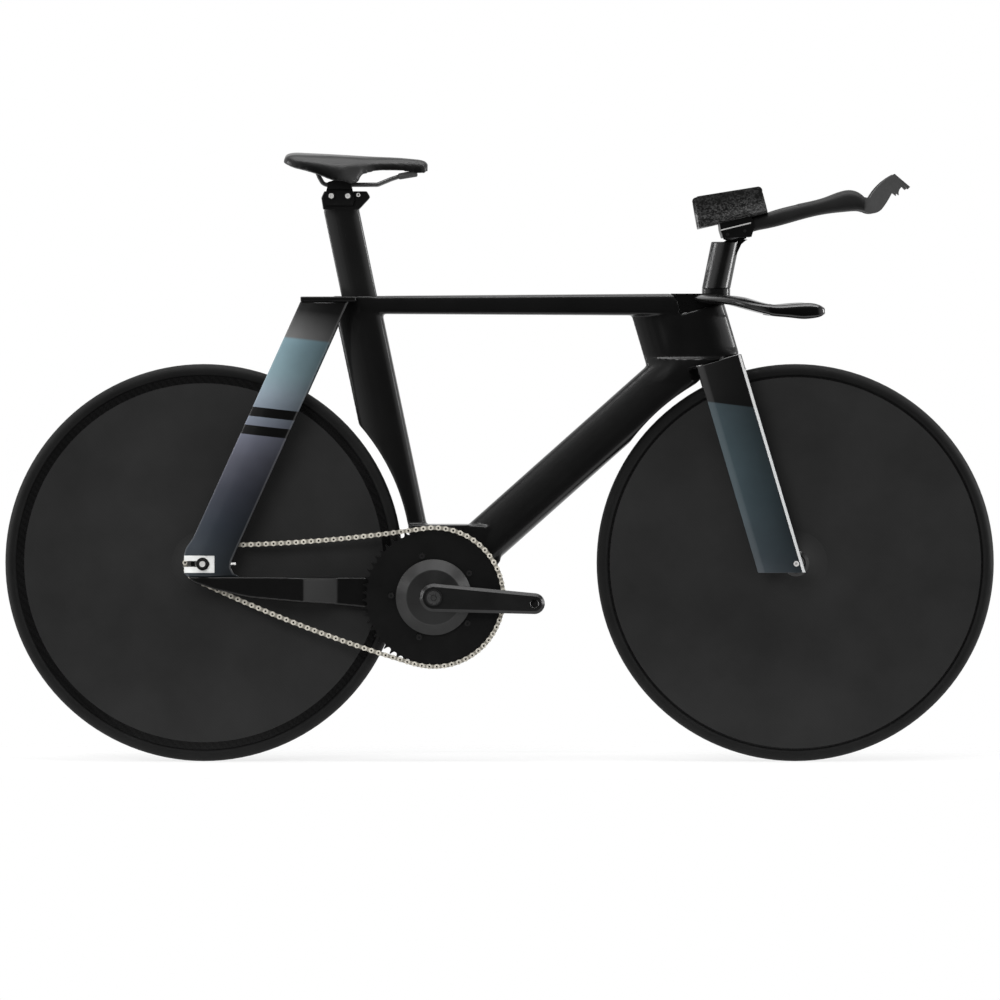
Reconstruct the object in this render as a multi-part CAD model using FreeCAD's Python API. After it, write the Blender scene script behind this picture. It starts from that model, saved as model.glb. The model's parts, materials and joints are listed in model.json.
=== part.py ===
"""Track time trial bicycle with two disc wheels, as separate named pieces.

Millimetres. X points forward, Y to the rider's left and Z up. The origin is on the ground,
midway between the two axles. The drive side is the right side, which is minus Y.
"""
import FreeCAD, Part
import math
import os
from FreeCAD import Vector

# Layout of the bicycle
WHEELBASE = 1000.0
TYRE_RADIUS = 336.0
BB_DROP = 57.0
BB_TYRE_CLEARANCE = 57.2
CHAINSTAY_LENGTH = TYRE_RADIUS + BB_TYRE_CLEARANCE
HEAD_ANGLE = 73.5
FORK_OFFSET = 42.0
SEAT_LEAN = 11.8
SEAT_SETBACK = 20.0

# Wheels
TYRE_WIDTH = 25.0
TYRE_WALL = 2.2
TYRE_HEIGHT = 20.0
RIM_RADIUS = TYRE_RADIUS - TYRE_HEIGHT
RIM_HALF_WIDTH = 11.8
RIM_FLANGE = 2.5
RIM_DEPTH = 20.0
RIM_WELL = 5.0
BEAD_SEAT = 4.8
REAR_BAND = 12.5
FRONT_BAND = 2.3
REAR_DISC_RADIUS = RIM_RADIUS - REAR_BAND
FRONT_DISC_RADIUS = RIM_RADIUS - FRONT_BAND
DISC_SKIN = 1.6
DISC_SWELL = 9.0
BOSS_RADIUS = 54.0
REAR_BOSS_HALF = 37.0
FRONT_BOSS_HALF = 41.0
REAR_HUB_RADIUS = 27.0
FRONT_HUB_RADIUS = 22.0
AXLE_RADIUS = 7.5
HUB_BEARING_RADIUS = 14.0
HUB_BEARING_WIDTH = 8.0
REAR_SPACING = 120.0
FRONT_SPACING = 100.0
RUNNING_GAP = 0.05

# Drive train
CHAIN_PITCH = 12.7
RING_TEETH = 58
COG_TEETH = 15
CHAIN_LINE = 43.0
ROLLER_RADIUS = 3.9
ROLLER_GAP = 0.35
PIN_RADIUS = 1.85
PIN_GAP = 0.2
LINK_INNER_WIDTH = 3.4
LINK_PLATE = 1.0
LINK_PLATE_GAP = 0.1
LINK_PLATE_RADIUS = 4.2
LINK_WAIST = 3.2
PIN_END = 0.7
TOOTH_WIDTH = 3.0
TOOTH_TIP = 3.4
TOOTH_FLANK = 20.0
COG_BORE = 17.5
LOCKRING_RADIUS = 20.5
LOCKRING_WIDTH = 4.0
HUB_END_GAP = 1.0
CRANK_LENGTH = 170.0
CRANK_TILT = -3.4
CRANK_ROOT_RADIUS = 23.5
CRANK_TIP_RADIUS = 17.5
CRANK_THICKNESS = 15.0
CRANK_BEVEL = 5.0
PEDAL_THREAD_RADIUS = 7.14
SPINDLE_RADIUS = 12.0
SPIDER_RADIUS = 64.0
SPIDER_FACE_RADIUS = 47.0
SPIDER_DEPTH = 13.0
SPIDER_TAB = 3.0
SPIDER_TAB_HALF_WIDTH = 10.0
RING_BOLT_COUNT = 5
RING_BOLT_CIRCLE = 144.0
RING_BOLT_RADIUS = 4.0
RING_BOLT_HEAD_RADIUS = 5.5
RING_BOLT_HEAD = 1.6
RING_BOLT_START = 34.0
CRANK_BOLT_RADIUS = 14.0
CRANK_BOLT_HEIGHT = 3.0
CRANK_BOLT_HEX = 8.0

# Frame
BB_SHELL_HALF = 36.0
BB_SHELL_RADIUS = 30.0
BB_BEARING_RADIUS = 19.0
BB_BEARING_WIDTH = 9.0
BB_BLOCK_HALF = 33.0
BB_LEDGE_HEIGHT = 122.0
WHEEL_GAP_REAR = 15.0
WHEEL_GAP_FRONT = 10.0
SEAT_TUBE_NOSE = 32.7
SEAT_TUBE_TAIL = 45.6
SEAT_TUBE_WIDTH = 36.0
TOP_TUBE_REAR_HEIGHT = 30.5
TOP_TUBE_REAR_WIDTH = 36.0
TOP_TUBE_FRONT_HEIGHT = 37.5
TOP_TUBE_FRONT_WIDTH = 44.0
TOP_TUBE_DROP = 4.0
TOP_TUBE_SQUARENESS = 5.0
HEAD_NOSE = 51.0
HEAD_TAIL = 105.0
HEAD_WIDTH = 46.0
HEAD_LENGTH = 92.0
COLLAR_WIDTH = 60.0
COLLAR_HEIGHT = 22.0
HEADSET_RADIUS = 18.5
HEADSET_HEIGHT = 7.0
STEERER_RADIUS = 14.3
DOWN_TUBE_DEPTH = 78.0
DOWN_TUBE_WIDTH = 58.0
DOWN_TUBE_FORWARD = 60.4
DOWN_TUBE_RISE = 123.8
DOWN_TUBE_HEAD_RISE = 25.0
STAY_THICKNESS = 14.0
STAY_BEVEL = 3.0
DROPOUT_REAR = 31.0
DROPOUT_FRONT = 20.0
DROPOUT_UP = 14.0
DROPOUT_DOWN = 15.0
DROPOUT_THICKNESS = 12.0
SLOT_FRONT = 12.0
REAR_AXLE_END_RADIUS = 5.0
SLOT_GAP = 0.1
AXLE_NUT_FLATS = 15.0
AXLE_NUT_HEIGHT = 9.0
TENSION_SCREW_RADIUS = 2.0
CHAINSTAY_DROP = 22.0
CHAINSTAY_INNER = 19.5
CHAINSTAY_OUTER = 36.5
CHAINSTAY_BEND = 162.0
CHAINSTAY_BEND_LENGTH = 58.0
BRIDGE_THICKNESS = 8.0

# Fork and steering
CROWN_GAP = 4.0
CROWN_DEPTH = 25.0
LEG_NOSE = 53.3
LEG_TAIL = 24.0
CROWN_TAIL = 19.0
LEG_THICKNESS = 12.0
LEG_NOSE_BEVEL = 7.0
LEG_TAIL_BEVEL = 10.0
LEG_DROP = 15.5
HEAD_GAP = 0.5
STEER_LIMIT = 30.0
AXLE_BOLT_RADIUS = 3.0
AXLE_BOLT_HEAD_RADIUS = 4.6
AXLE_BOLT_HEAD = 4.0

# Cockpit
STEM_HEIGHT = 29.5
STEM_BACK_RADIUS = 31.0
STEM_WIDTH = 42.0
STEM_FRONT = 46.0
STEM_GAP = 0.6
STEM_CAP_RADIUS = 12.5
STEM_CAP_HEIGHT = 4.0
STEM_CAP_DEPTH = 10.0
BAR_HALF_WIDTH = 185.0
BAR_GRIP_START = 129.0
BAR_GRIP_LENGTH = 92.5
RISER_REACH = 65.4
RISER_HEIGHT = 85.5
RISER_LEAN = 16.0
RISER_CHORD = 48.0
RISER_WIDTH = 38.0
SPACER_HEIGHT = 8.0
TONGUE_RADIUS = 12.0
TONGUE_WIDTH = 24.0
TILT_PIN_RADIUS = 4.0
TILT_PIN_LENGTH = 60.0
TILT_GAP = 0.4
TILT_LIMIT = 10.0
CRADLE_HALF_WIDTH = 74.0
EXTENSION_SPREAD = 52.0
CUP_SPREAD = 62.0
CUP_RADIUS = 46.0
CUP_WALL = 3.0
CUP_LENGTH = 118.0
CUP_TILT = 13.0
CUP_HEIGHT = 54.0
PAD_THICKNESS = 6.0
GRIP_THICKNESS = 26.0

# Seatpost and saddle
POST_NOSE = 29.6
POST_WIDTH = 23.0
POST_EXPOSED = 152.0
POST_INSERT = 190.0
POST_GAP = 0.1
POST_RANGE = 40.0
POST_HEAD_HALF_WIDTH = 12.0
POST_HEAD_HEIGHT = 28.0
CLAMP_GAP = 0.3
CLAMP_PLATE = 5.0
CLAMP_BOLT_RADIUS = 4.0
CLAMP_LENGTH = 40.0
RAIL_RADIUS = 3.5
RAIL_SPREAD = 22.0
RAIL_RISE = 11.0
SADDLE_PAD = 12.0
SADDLE_SHELL = 2.5
SHELL_GAP = 0.5
WEDGE_HALF_WIDTH = 8.0
WEDGE_DEPTH = 32.0
WEDGE_LENGTH = 12.0
WEDGE_BOLT_RADIUS = 3.0

# Reference points and directions that follow from the layout
SIDE = Vector(0, 1, 0)
REAR_AXLE = Vector(-WHEELBASE / 2, 0, TYRE_RADIUS)
FRONT_AXLE = Vector(WHEELBASE / 2, 0, TYRE_RADIUS)
BB = REAR_AXLE + Vector(math.sqrt(CHAINSTAY_LENGTH ** 2 - BB_DROP ** 2), 0, -BB_DROP)
HEAD_RADIANS = math.radians(HEAD_ANGLE)
STEER_UP = Vector(-math.cos(HEAD_RADIANS), 0, math.sin(HEAD_RADIANS))
STEER_FORWARD = Vector(math.sin(HEAD_RADIANS), 0, math.cos(HEAD_RADIANS))
STEER_FOOT = FRONT_AXLE - STEER_FORWARD * FORK_OFFSET
SEAT_RADIANS = math.radians(SEAT_LEAN)
SEAT_UP = Vector(-math.sin(SEAT_RADIANS), 0, math.cos(SEAT_RADIANS))
SEAT_FORWARD = Vector(math.cos(SEAT_RADIANS), 0, math.sin(SEAT_RADIANS))
SEAT_FOOT = BB - Vector(SEAT_SETBACK, 0, 0)
CROWN_TOP = TYRE_RADIUS + CROWN_GAP + CROWN_DEPTH
HEAD_BOTTOM = CROWN_TOP + HEAD_GAP
HEAD_TOP = HEAD_BOTTOM + HEAD_LENGTH


def steer(forward, side, up):
    """Point in the steering frame, whose foot is beside the front axle."""
    return STEER_FOOT + STEER_FORWARD * forward + SIDE * side + STEER_UP * up


def seat(forward, side, up):
    """Point in the frame of the seat tube, whose foot is beside the bottom bracket."""
    return SEAT_FOOT + SEAT_FORWARD * forward + SIDE * side + SEAT_UP * up


STEM_TOP = steer(0, 0, HEAD_TOP + STEM_HEIGHT)
SEAT_TOP_HEIGHT = STEM_TOP.z - TOP_TUBE_DROP
SEAT_TOP = (SEAT_TOP_HEIGHT - SEAT_FOOT.z) / SEAT_UP.z


def outline(place, start, *steps):
    """Closed wire through points, where a pair of points is an arc through the first."""
    edges = []
    here = start
    for step in steps:
        if isinstance(step[0], tuple):
            middle, end = step
            edges.append(Part.Arc(place(*here), place(*middle), place(*end)).toShape())
        else:
            end = step
            edges.append(Part.LineSegment(place(*here), place(*end)).toShape())
        here = end
    if (place(*here) - place(*start)).Length > 1e-6:
        edges.append(Part.LineSegment(place(*here), place(*start)).toShape())
    return Part.Wire(edges)


def closed_curve(points):
    """Smooth closed wire through points."""
    curve = Part.BSplineCurve()
    curve.interpolate(points, PeriodicFlag=True)
    return Part.Wire([curve.toShape()])


def power(value, exponent):
    """Signed power, for rounded rectangles."""
    return math.copysign(abs(value) ** exponent, value)


def oval(centre, across, upward, half_across, half_upward, squareness=2.0, count=24):
    """Closed wire of a rounded rectangle or ellipse."""
    points = []
    for index in range(count):
        angle = 2 * math.pi * (index + 0.5) / count
        a = half_across * power(math.cos(angle), 2 / squareness)
        b = half_upward * power(math.sin(angle), 2 / squareness)
        points.append(centre + across * a + upward * b)
    return closed_curve(points)


def foil(place, nose, tail, width, swell=0.35, fullness=2.6, count=28):
    """Closed wire of an aerofoil tube from tail to nose, fuller towards its nose."""
    raw = []
    for index in range(count):
        angle = 2 * math.pi * (index + 0.5) / count
        along = power(math.cos(angle), 2 / fullness)
        side = power(math.sin(angle), 2 / fullness) * (1 + swell * along)
        raw.append((along, side))
    widest = max(side for along, side in raw)
    middle = (nose + tail) / 2
    half = (nose - tail) / 2
    return closed_curve([place(middle + half * a, width / 2 * b / widest) for a, b in raw])


def pillar(wire, direction):
    """Solid between a closed wire and its copy moved along a direction."""
    return Part.Face(wire).extrude(direction)


def loft(wires, ruled=False):
    """Solid through closed wires."""
    return Part.makeLoft(wires, True, ruled)


def rod(centre, radius, near, far):
    """Cylinder across the bicycle from one side position to another."""
    low = min(near, far)
    return Part.makeCylinder(radius, abs(far - near), Vector(centre.x, low, centre.z), SIDE)


def tube(centre, radius, bore, near, far):
    """Ring across the bicycle."""
    return rod(centre, radius, near, far).cut(rod(centre, bore, near - 1, far + 1))


def side_prism(points, near, far):
    """Prism across the bicycle over an outline of (x, z) points."""
    wire = outline(lambda x, z: Vector(x, near, z), *points)
    return pillar(wire, SIDE * (far - near))


def plan_prism(points, low, high):
    """Upright prism over an outline of (x, y) points."""
    wire = outline(lambda x, y: Vector(x, y, low), *points)
    return pillar(wire, Vector(0, 0, high - low))


def steer_prism(points, low, high):
    """Prism along the steering axis over an outline of (forward, side) points."""
    wire = outline(lambda p, y: steer(p, y, low), *points)
    return pillar(wire, STEER_UP * (high - low))


def steer_rod(radius, low, high):
    """Cylinder about the steering axis."""
    return Part.makeCylinder(radius, high - low, steer(0, 0, low), STEER_UP)


def turned(centre, start, *steps):
    """Solid of revolution about a line across the bicycle, from (side, radius) points."""
    wire = outline(lambda y, r: centre + Vector(0, y, r), start, *steps)
    return Part.Face(wire).revolve(centre, SIDE, 360)


def hexagon(centre, flats, near, far):
    """Hexagonal bar across the bicycle."""
    corner = flats / math.sqrt(3)
    points = []
    for index in range(6):
        angle = math.radians(60 * index)
        points.append((centre.x + corner * math.cos(angle), centre.z + corner * math.sin(angle)))
    return side_prism(points, near, far)


def bent_tube(points, radius, bend):
    """Round tube along straight runs joined by arcs of one radius."""
    edges = []
    here = points[0]
    for before, corner, after in zip(points, points[1:], points[2:]):
        back = (before - corner).normalize()
        ahead = (after - corner).normalize()
        half_turn = (math.pi - back.getAngle(ahead)) / 2
        reach = bend * math.tan(half_turn)
        start = corner + back * reach
        end = corner + ahead * reach
        inward = (back + ahead).normalize()
        middle = corner + inward * (bend / math.cos(half_turn) - bend)
        edges.append(Part.LineSegment(here, start).toShape())
        edges.append(Part.Arc(start, middle, end).toShape())
        here = end
    edges.append(Part.LineSegment(here, points[-1]).toShape())
    path = Part.Wire(edges)
    circle = Part.Circle(points[0], points[1] - points[0], radius).toShape()
    return path.makePipeShell([Part.Wire([circle])], True, False)


def mirrored(shape):
    """The same piece on the other side of the bicycle."""
    return shape.mirror(Vector(0, 0, 0), SIDE)


def above(height):
    """Large block above a level."""
    size = 4 * WHEELBASE
    return Part.makeBox(size, size, size, Vector(-size / 2, -size / 2, height))


def save(name, *shapes):
    """Write one piece, or a set of like pieces, to its own file."""
    solids = []
    for shape in shapes:
        solids.extend(shape.Solids)
    whole = solids[0] if len(solids) == 1 else Part.makeCompound(solids)
    whole.exportStep(os.path.join("parts", name + ".step"))
    good = all(solid.isValid() for solid in solids)
    print(name, len(solids), "valid" if good else "NOT VALID", round(whole.Volume))


os.makedirs("parts", exist_ok=True)

# Front triangle: an aerofoil seat tube, top tube, head fairing and down tube in one moulding,
# with a wide collar over the fork crown and a block round the bottom bracket.
seat_tube = pillar(
    foil(lambda p, y: seat(p, y, BB_SHELL_RADIUS), SEAT_TUBE_NOSE, -SEAT_TUBE_TAIL, SEAT_TUBE_WIDTH),
    SEAT_UP * (SEAT_TOP + SEAT_TUBE_WIDTH - BB_SHELL_RADIUS))
seat_tube = seat_tube.cut(above(SEAT_TOP_HEIGHT))
top_rear = Vector(seat(0, 0, SEAT_TOP).x, 0, SEAT_TOP_HEIGHT - TOP_TUBE_REAR_HEIGHT / 2)
top_front = STEM_TOP - Vector(0, 0, TOP_TUBE_FRONT_HEIGHT / 2)
UP = Vector(0, 0, 1)
top_tube = loft([
    oval(top_rear, SIDE, UP, TOP_TUBE_REAR_WIDTH / 2, TOP_TUBE_REAR_HEIGHT / 2, TOP_TUBE_SQUARENESS),
    oval(top_front, SIDE, UP, TOP_TUBE_FRONT_WIDTH / 2, TOP_TUBE_FRONT_HEIGHT / 2,
         TOP_TUBE_SQUARENESS)])
head_fairing = pillar(
    foil(lambda p, y: steer(p, y, HEAD_BOTTOM), HEAD_NOSE, -HEAD_TAIL, HEAD_WIDTH),
    STEER_UP * (HEAD_LENGTH + STEM_HEIGHT))
head_fairing = head_fairing.cut(above(STEM_TOP.z - TOP_TUBE_FRONT_HEIGHT / 4))
collar = pillar(
    foil(lambda p, y: steer(p, y, HEAD_BOTTOM), HEAD_NOSE, -HEAD_TAIL, COLLAR_WIDTH),
    STEER_UP * HEAD_LENGTH)
collar_top = steer(-HEAD_TAIL / 2, 0, HEAD_BOTTOM).z + COLLAR_HEIGHT
collar = collar.cut(above(collar_top))
down_start = BB + Vector(DOWN_TUBE_FORWARD, 0, DOWN_TUBE_RISE)
down_end = steer(-HEAD_TAIL, 0, HEAD_BOTTOM + DOWN_TUBE_HEAD_RISE)
down_along = (down_end - down_start).normalize()
down_across = Vector(down_along.z, 0, -down_along.x)


def down(across, side, along):
    """Point in the frame of the down tube, from its upper edge towards its lower one."""
    return down_start + down_across * across + SIDE * side + down_along * along


down_length = (down_end - down_start).Length
down_tube = pillar(
    foil(lambda p, y: down(p, y, -DOWN_TUBE_DEPTH), DOWN_TUBE_DEPTH, 0, DOWN_TUBE_WIDTH, 0.3),
    down_along * (down_length + 2.2 * DOWN_TUBE_DEPTH))
down_tube = down_tube.cut(above(collar_top))
ledge = BB.z + BB_LEDGE_HEIGHT
bb_block_side = side_prism([
    (BB.x - 62, ledge), (BB.x + DOWN_TUBE_FORWARD, ledge), (BB.x + 122, ledge - 7),
    (BB.x + 112, ledge - 62), (BB.x + 80, BB.z + 18), (BB.x + 46, BB.z - 28),
    (BB.x, BB.z - BB_SHELL_RADIUS - 10), (BB.x - 40, BB.z - 28), (BB.x - 62, BB.z + 10)],
    -BB_SHELL_HALF, BB_SHELL_HALF)
bb_block_plan = plan_prism([
    (BB.x - 64, BB_BLOCK_HALF * 0.55), (BB.x - 35, BB_BLOCK_HALF), (BB.x + 50, BB_BLOCK_HALF),
    (BB.x + 124, BB_BLOCK_HALF * 0.6), (BB.x + 124, -BB_BLOCK_HALF * 0.6),
    (BB.x + 50, -BB_BLOCK_HALF), (BB.x - 35, -BB_BLOCK_HALF), (BB.x - 64, -BB_BLOCK_HALF * 0.55)],
    BB.z - 2 * BB_SHELL_RADIUS, ledge + BB_SHELL_RADIUS)
bb_block = bb_block_side.common(bb_block_plan)
bb_shell = rod(BB, BB_SHELL_RADIUS, -BB_SHELL_HALF, BB_SHELL_HALF)
front_triangle = seat_tube.fuse([top_tube, head_fairing, collar, down_tube, bb_block, bb_shell])

# Room in the front triangle for what passes through it or swings beside it.
rear_wheel_room = rod(REAR_AXLE, TYRE_RADIUS + WHEEL_GAP_REAR, -2 * TYRE_WIDTH, 2 * TYRE_WIDTH)
front_wheel_room = rod(FRONT_AXLE, TYRE_RADIUS + WHEEL_GAP_FRONT, -4 * TYRE_WIDTH, 4 * TYRE_WIDTH)
front_wheel_room = front_wheel_room.common(
    steer_prism([(-HEAD_TAIL * 3, -4 * TYRE_WIDTH), (LEG_NOSE * 2, -4 * TYRE_WIDTH),
                 (LEG_NOSE * 2, 4 * TYRE_WIDTH), (-HEAD_TAIL * 3, 4 * TYRE_WIDTH)],
                -TYRE_RADIUS, HEAD_BOTTOM))
swing = math.tan(math.radians(STEER_LIMIT))
prow = CROWN_TAIL / math.cos(math.radians(STEER_LIMIT)) + 1.0
reach = 2 * COLLAR_WIDTH
crown_room = steer_prism([
    (-prow, 0), (-prow - swing * reach, reach), (reach, reach), (reach, -reach),
    (-prow - swing * reach, -reach)], -TYRE_RADIUS / 2, HEAD_BOTTOM)
stem_room = steer_rod(STEM_BACK_RADIUS + STEM_GAP, HEAD_TOP, HEAD_TOP + 2 * STEM_HEIGHT).fuse(
    steer_prism([(0, -reach), (reach, -reach), (reach, reach), (0, reach)],
                HEAD_TOP, HEAD_TOP + 2 * STEM_HEIGHT))
headset_bore = steer_rod(STEERER_RADIUS + 1.0, HEAD_BOTTOM - 1, HEAD_TOP + 1)
headset_low = steer_rod(HEADSET_RADIUS, HEAD_BOTTOM - 1, HEAD_BOTTOM + HEADSET_HEIGHT)
headset_high = steer_rod(HEADSET_RADIUS, HEAD_TOP - HEADSET_HEIGHT, HEAD_TOP + 1)
post_foil = foil(
    lambda p, y: seat(p, y, SEAT_TOP - POST_INSERT - POST_RANGE),
    POST_NOSE + POST_GAP, -POST_NOSE - POST_GAP, POST_WIDTH + 2 * POST_GAP, 0.2)
post_room = pillar(post_foil, SEAT_UP * (POST_INSERT + 2 * POST_RANGE))
wedge_room = pillar(
    outline(lambda p, y: seat(p, y, SEAT_TOP - WEDGE_DEPTH),
            (POST_NOSE - WEDGE_LENGTH, -WEDGE_HALF_WIDTH), (POST_NOSE + WEDGE_LENGTH, -WEDGE_HALF_WIDTH),
            (POST_NOSE + WEDGE_LENGTH, WEDGE_HALF_WIDTH), (POST_NOSE - WEDGE_LENGTH, WEDGE_HALF_WIDTH)),
    SEAT_UP * (2 * WEDGE_DEPTH))
bb_bore = rod(BB, SPINDLE_RADIUS + 2, -2 * BB_SHELL_HALF, 2 * BB_SHELL_HALF)
bb_seat = rod(BB, BB_BEARING_RADIUS, BB_SHELL_HALF - BB_BEARING_WIDTH, 2 * BB_SHELL_HALF)
front_triangle = front_triangle.cut([
    rear_wheel_room, front_wheel_room, crown_room, stem_room, headset_bore, headset_low,
    headset_high, post_room, wedge_room, bb_bore, bb_seat, mirrored(bb_seat)])
save("front_triangle", front_triangle)

# Bearings in the head and the bottom bracket, pressed into the moulding.
headset_bearings = []
for low in (HEAD_BOTTOM, HEAD_TOP - HEADSET_HEIGHT):
    ring = steer_rod(HEADSET_RADIUS, low, low + HEADSET_HEIGHT)
    headset_bearings.append(ring.cut(steer_rod(STEERER_RADIUS + RUNNING_GAP, low - 1, HEAD_TOP + 1)))
save("headset_bearings", *headset_bearings)
bb_bearing = tube(BB, BB_BEARING_RADIUS, SPINDLE_RADIUS + RUNNING_GAP,
                  BB_SHELL_HALF - BB_BEARING_WIDTH, BB_SHELL_HALF)
save("bottom_bracket_bearings", bb_bearing, mirrored(bb_bearing))

# Stays: two wide flat blades on each side, joined over the wheel by a thin wing behind the
# seat tube. The blades end at metal dropouts with slots that open to the rear.
stay_inner = REAR_SPACING / 2
stay_outer = stay_inner + STAY_THICKNESS
seat_join = Vector(seat(0, 0, SEAT_TOP).x, 0, SEAT_TOP_HEIGHT)


def from_axle(x, z):
    """Side view point measured from the rear axle."""
    return (REAR_AXLE.x + x, REAR_AXLE.z + z)


def from_seat(x, z):
    """Side view point measured from the top of the seat tube."""
    return (seat_join.x + x, seat_join.z + z)


def bevelled(points, near, far, bevel):
    """Flat blade across the bicycle with its outer edges bevelled."""
    plate = side_prism(points, near, far)
    rims = [edge for edge in plate.Edges
            if all(abs(vertex.Point.y - far) < 1e-6 for vertex in edge.Vertexes)]
    return plate.makeChamfer(bevel, rims)


dropout_box = side_prism([
    from_axle(-DROPOUT_REAR - 20, -DROPOUT_DOWN), from_axle(DROPOUT_FRONT, -DROPOUT_DOWN),
    from_axle(DROPOUT_FRONT, DROPOUT_UP), from_axle(-DROPOUT_REAR - 20, DROPOUT_UP)],
    -stay_outer - 1, -stay_inner + 1)
seatstay = bevelled([
    from_seat(-98, -BRIDGE_THICKNESS - 1), from_seat(-17, -BRIDGE_THICKNESS - 1), from_seat(-37, -52),
    from_axle(62, 35), from_axle(49, 5), from_axle(47, -6), from_axle(52, -16),
    from_axle(62, -CHAINSTAY_DROP), from_axle(-25, -CHAINSTAY_DROP), from_axle(-32, -15),
    from_axle(-32, 13), from_axle(-28, 27), from_axle(-16, 44)],
    -stay_inner, -stay_outer, STAY_BEVEL)
screw_centre = Vector(REAR_AXLE.x + REAR_AXLE_END_RADIUS, -stay_inner - DROPOUT_THICKNESS / 2,
                      REAR_AXLE.z)
screw_length = DROPOUT_REAR + DROPOUT_FRONT
screw = Part.makeCylinder(TENSION_SCREW_RADIUS, screw_length, screw_centre, Vector(1, 0, 0))
seatstay = seatstay.cut([dropout_box, screw])
chainstay_side = side_prism([
    from_axle(-25, -CHAINSTAY_DROP), from_axle(62, -CHAINSTAY_DROP), from_axle(269, -CHAINSTAY_DROP - 2),
    (BB.x - 4, BB.z + 28), (BB.x - 4, BB.z - 24), from_axle(269, -74), from_axle(163, -64),
    from_axle(78, -56), from_axle(20, -43), from_axle(-14, -31)], -stay_outer, 0)
bend_start = REAR_AXLE.x + CHAINSTAY_BEND
bend_end = bend_start + CHAINSTAY_BEND_LENGTH
bend_lag = STAY_THICKNESS / 2
chainstay_plan = plan_prism([
    (REAR_AXLE.x - stay_inner, -stay_outer), (bend_start + bend_lag, -stay_outer),
    (bend_end + bend_lag, -CHAINSTAY_OUTER), (BB.x, -CHAINSTAY_OUTER), (BB.x, -CHAINSTAY_INNER),
    (bend_end - bend_lag, -CHAINSTAY_INNER), (bend_start - bend_lag, -stay_inner),
    (REAR_AXLE.x - stay_inner, -stay_inner)], BB.z - 4 * BB_SHELL_RADIUS, REAR_AXLE.z)
shell_room = rod(BB, BB_SHELL_RADIUS, -2 * BB_SHELL_HALF, 2 * BB_SHELL_HALF)
chainstay = chainstay_side.common(chainstay_plan).cut([front_triangle, shell_room])
chainstay = max(chainstay.Solids, key=lambda solid: solid.Volume)
bridge = side_prism([
    from_seat(-98, -BRIDGE_THICKNESS - 1), from_seat(-98, -1), from_seat(-5, -1),
    from_seat(-5, -BRIDGE_THICKNESS - 1)], -stay_outer, stay_outer).cut(front_triangle).cut(post_room)
bridge = max(bridge.Solids, key=lambda solid: solid.Volume)
slot = REAR_AXLE_END_RADIUS + SLOT_GAP
insert = side_prism([
    from_axle(-DROPOUT_REAR, -DROPOUT_DOWN), from_axle(DROPOUT_FRONT, -DROPOUT_DOWN),
    from_axle(DROPOUT_FRONT, DROPOUT_UP), from_axle(-DROPOUT_REAR, DROPOUT_UP),
    from_axle(-DROPOUT_REAR, slot), from_axle(SLOT_FRONT - slot, slot),
    (from_axle(SLOT_FRONT, 0), from_axle(SLOT_FRONT - slot, -slot)), from_axle(-DROPOUT_REAR, -slot)],
    -stay_inner, -stay_inner - DROPOUT_THICKNESS).cut(screw)
save("seatstay_right", seatstay)
save("seatstay_left", mirrored(seatstay))
save("chainstay_right", chainstay)
save("chainstay_left", mirrored(chainstay))
save("seatstay_bridge", bridge)
save("dropout_inserts", insert, mirrored(insert))
save("chain_tension_screws", screw, mirrored(screw))

# Rear axle, clamped in the dropouts by a flanged nut on each side.
rear_hub_half = CHAIN_LINE + TOOTH_WIDTH / 2 + LOCKRING_WIDTH
shoulder = rear_hub_half + HUB_END_GAP
nut_start = stay_inner + DROPOUT_THICKNESS
nut_end = nut_start + AXLE_NUT_HEIGHT
shoulder_radius = AXLE_RADIUS + 2.5
rear_axle = turned(
    REAR_AXLE, (-nut_end - 3, 0), (-nut_end - 3, REAR_AXLE_END_RADIUS),
    (-stay_inner, REAR_AXLE_END_RADIUS), (-stay_inner, shoulder_radius), (-shoulder, shoulder_radius),
    (-shoulder, AXLE_RADIUS), (shoulder, AXLE_RADIUS), (shoulder, shoulder_radius),
    (stay_inner, shoulder_radius), (stay_inner, REAR_AXLE_END_RADIUS),
    (nut_end + 3, REAR_AXLE_END_RADIUS), (nut_end + 3, 0))
nut = hexagon(REAR_AXLE, AXLE_NUT_FLATS, nut_start, nut_end).fuse(
    rod(REAR_AXLE, AXLE_NUT_FLATS * 0.72, nut_start, nut_start + 2))
nut = nut.cut(rod(REAR_AXLE, REAR_AXLE_END_RADIUS, nut_start - 1, nut_end + 1))
save("rear_axle", rear_axle)
save("rear_axle_nuts", nut, mirrored(nut))


# Chain loop: pins lie on the ring and the cog, and both runs sag on one wide arc each.
# An even number of links is chosen that just closes the loop.
def pitch_radius(teeth):
    """Radius of the circle that the chain's pins follow round a sprocket."""
    return CHAIN_PITCH / 2 / math.sin(math.pi / teeth)


RING_PITCH = pitch_radius(RING_TEETH)
COG_PITCH = pitch_radius(COG_TEETH)
FULL_TURN = 2 * math.pi
RING_STEP = FULL_TURN / RING_TEETH
COG_STEP = FULL_TURN / COG_TEETH


def polar(centre, radius, angle):
    """Point at an angle round a centre in the side view."""
    return centre + Vector(math.cos(angle), 0, math.sin(angle)) * radius


def bearing(start, end):
    """Angle of the line from one point to another in the side view."""
    return math.atan2(end.z - start.z, end.x - start.x)


def sag_centre(to_ring, to_cog):
    """Point above the chain at given distances from the ring's and the cog's centres."""
    back = REAR_AXLE - BB
    span = back.Length
    back.normalize()
    upward = Vector(back.z, 0, -back.x)
    along = (to_ring ** 2 - to_cog ** 2 + span ** 2) / (2 * span)
    return BB + back * along + upward * math.sqrt(to_ring ** 2 - along ** 2)


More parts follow.
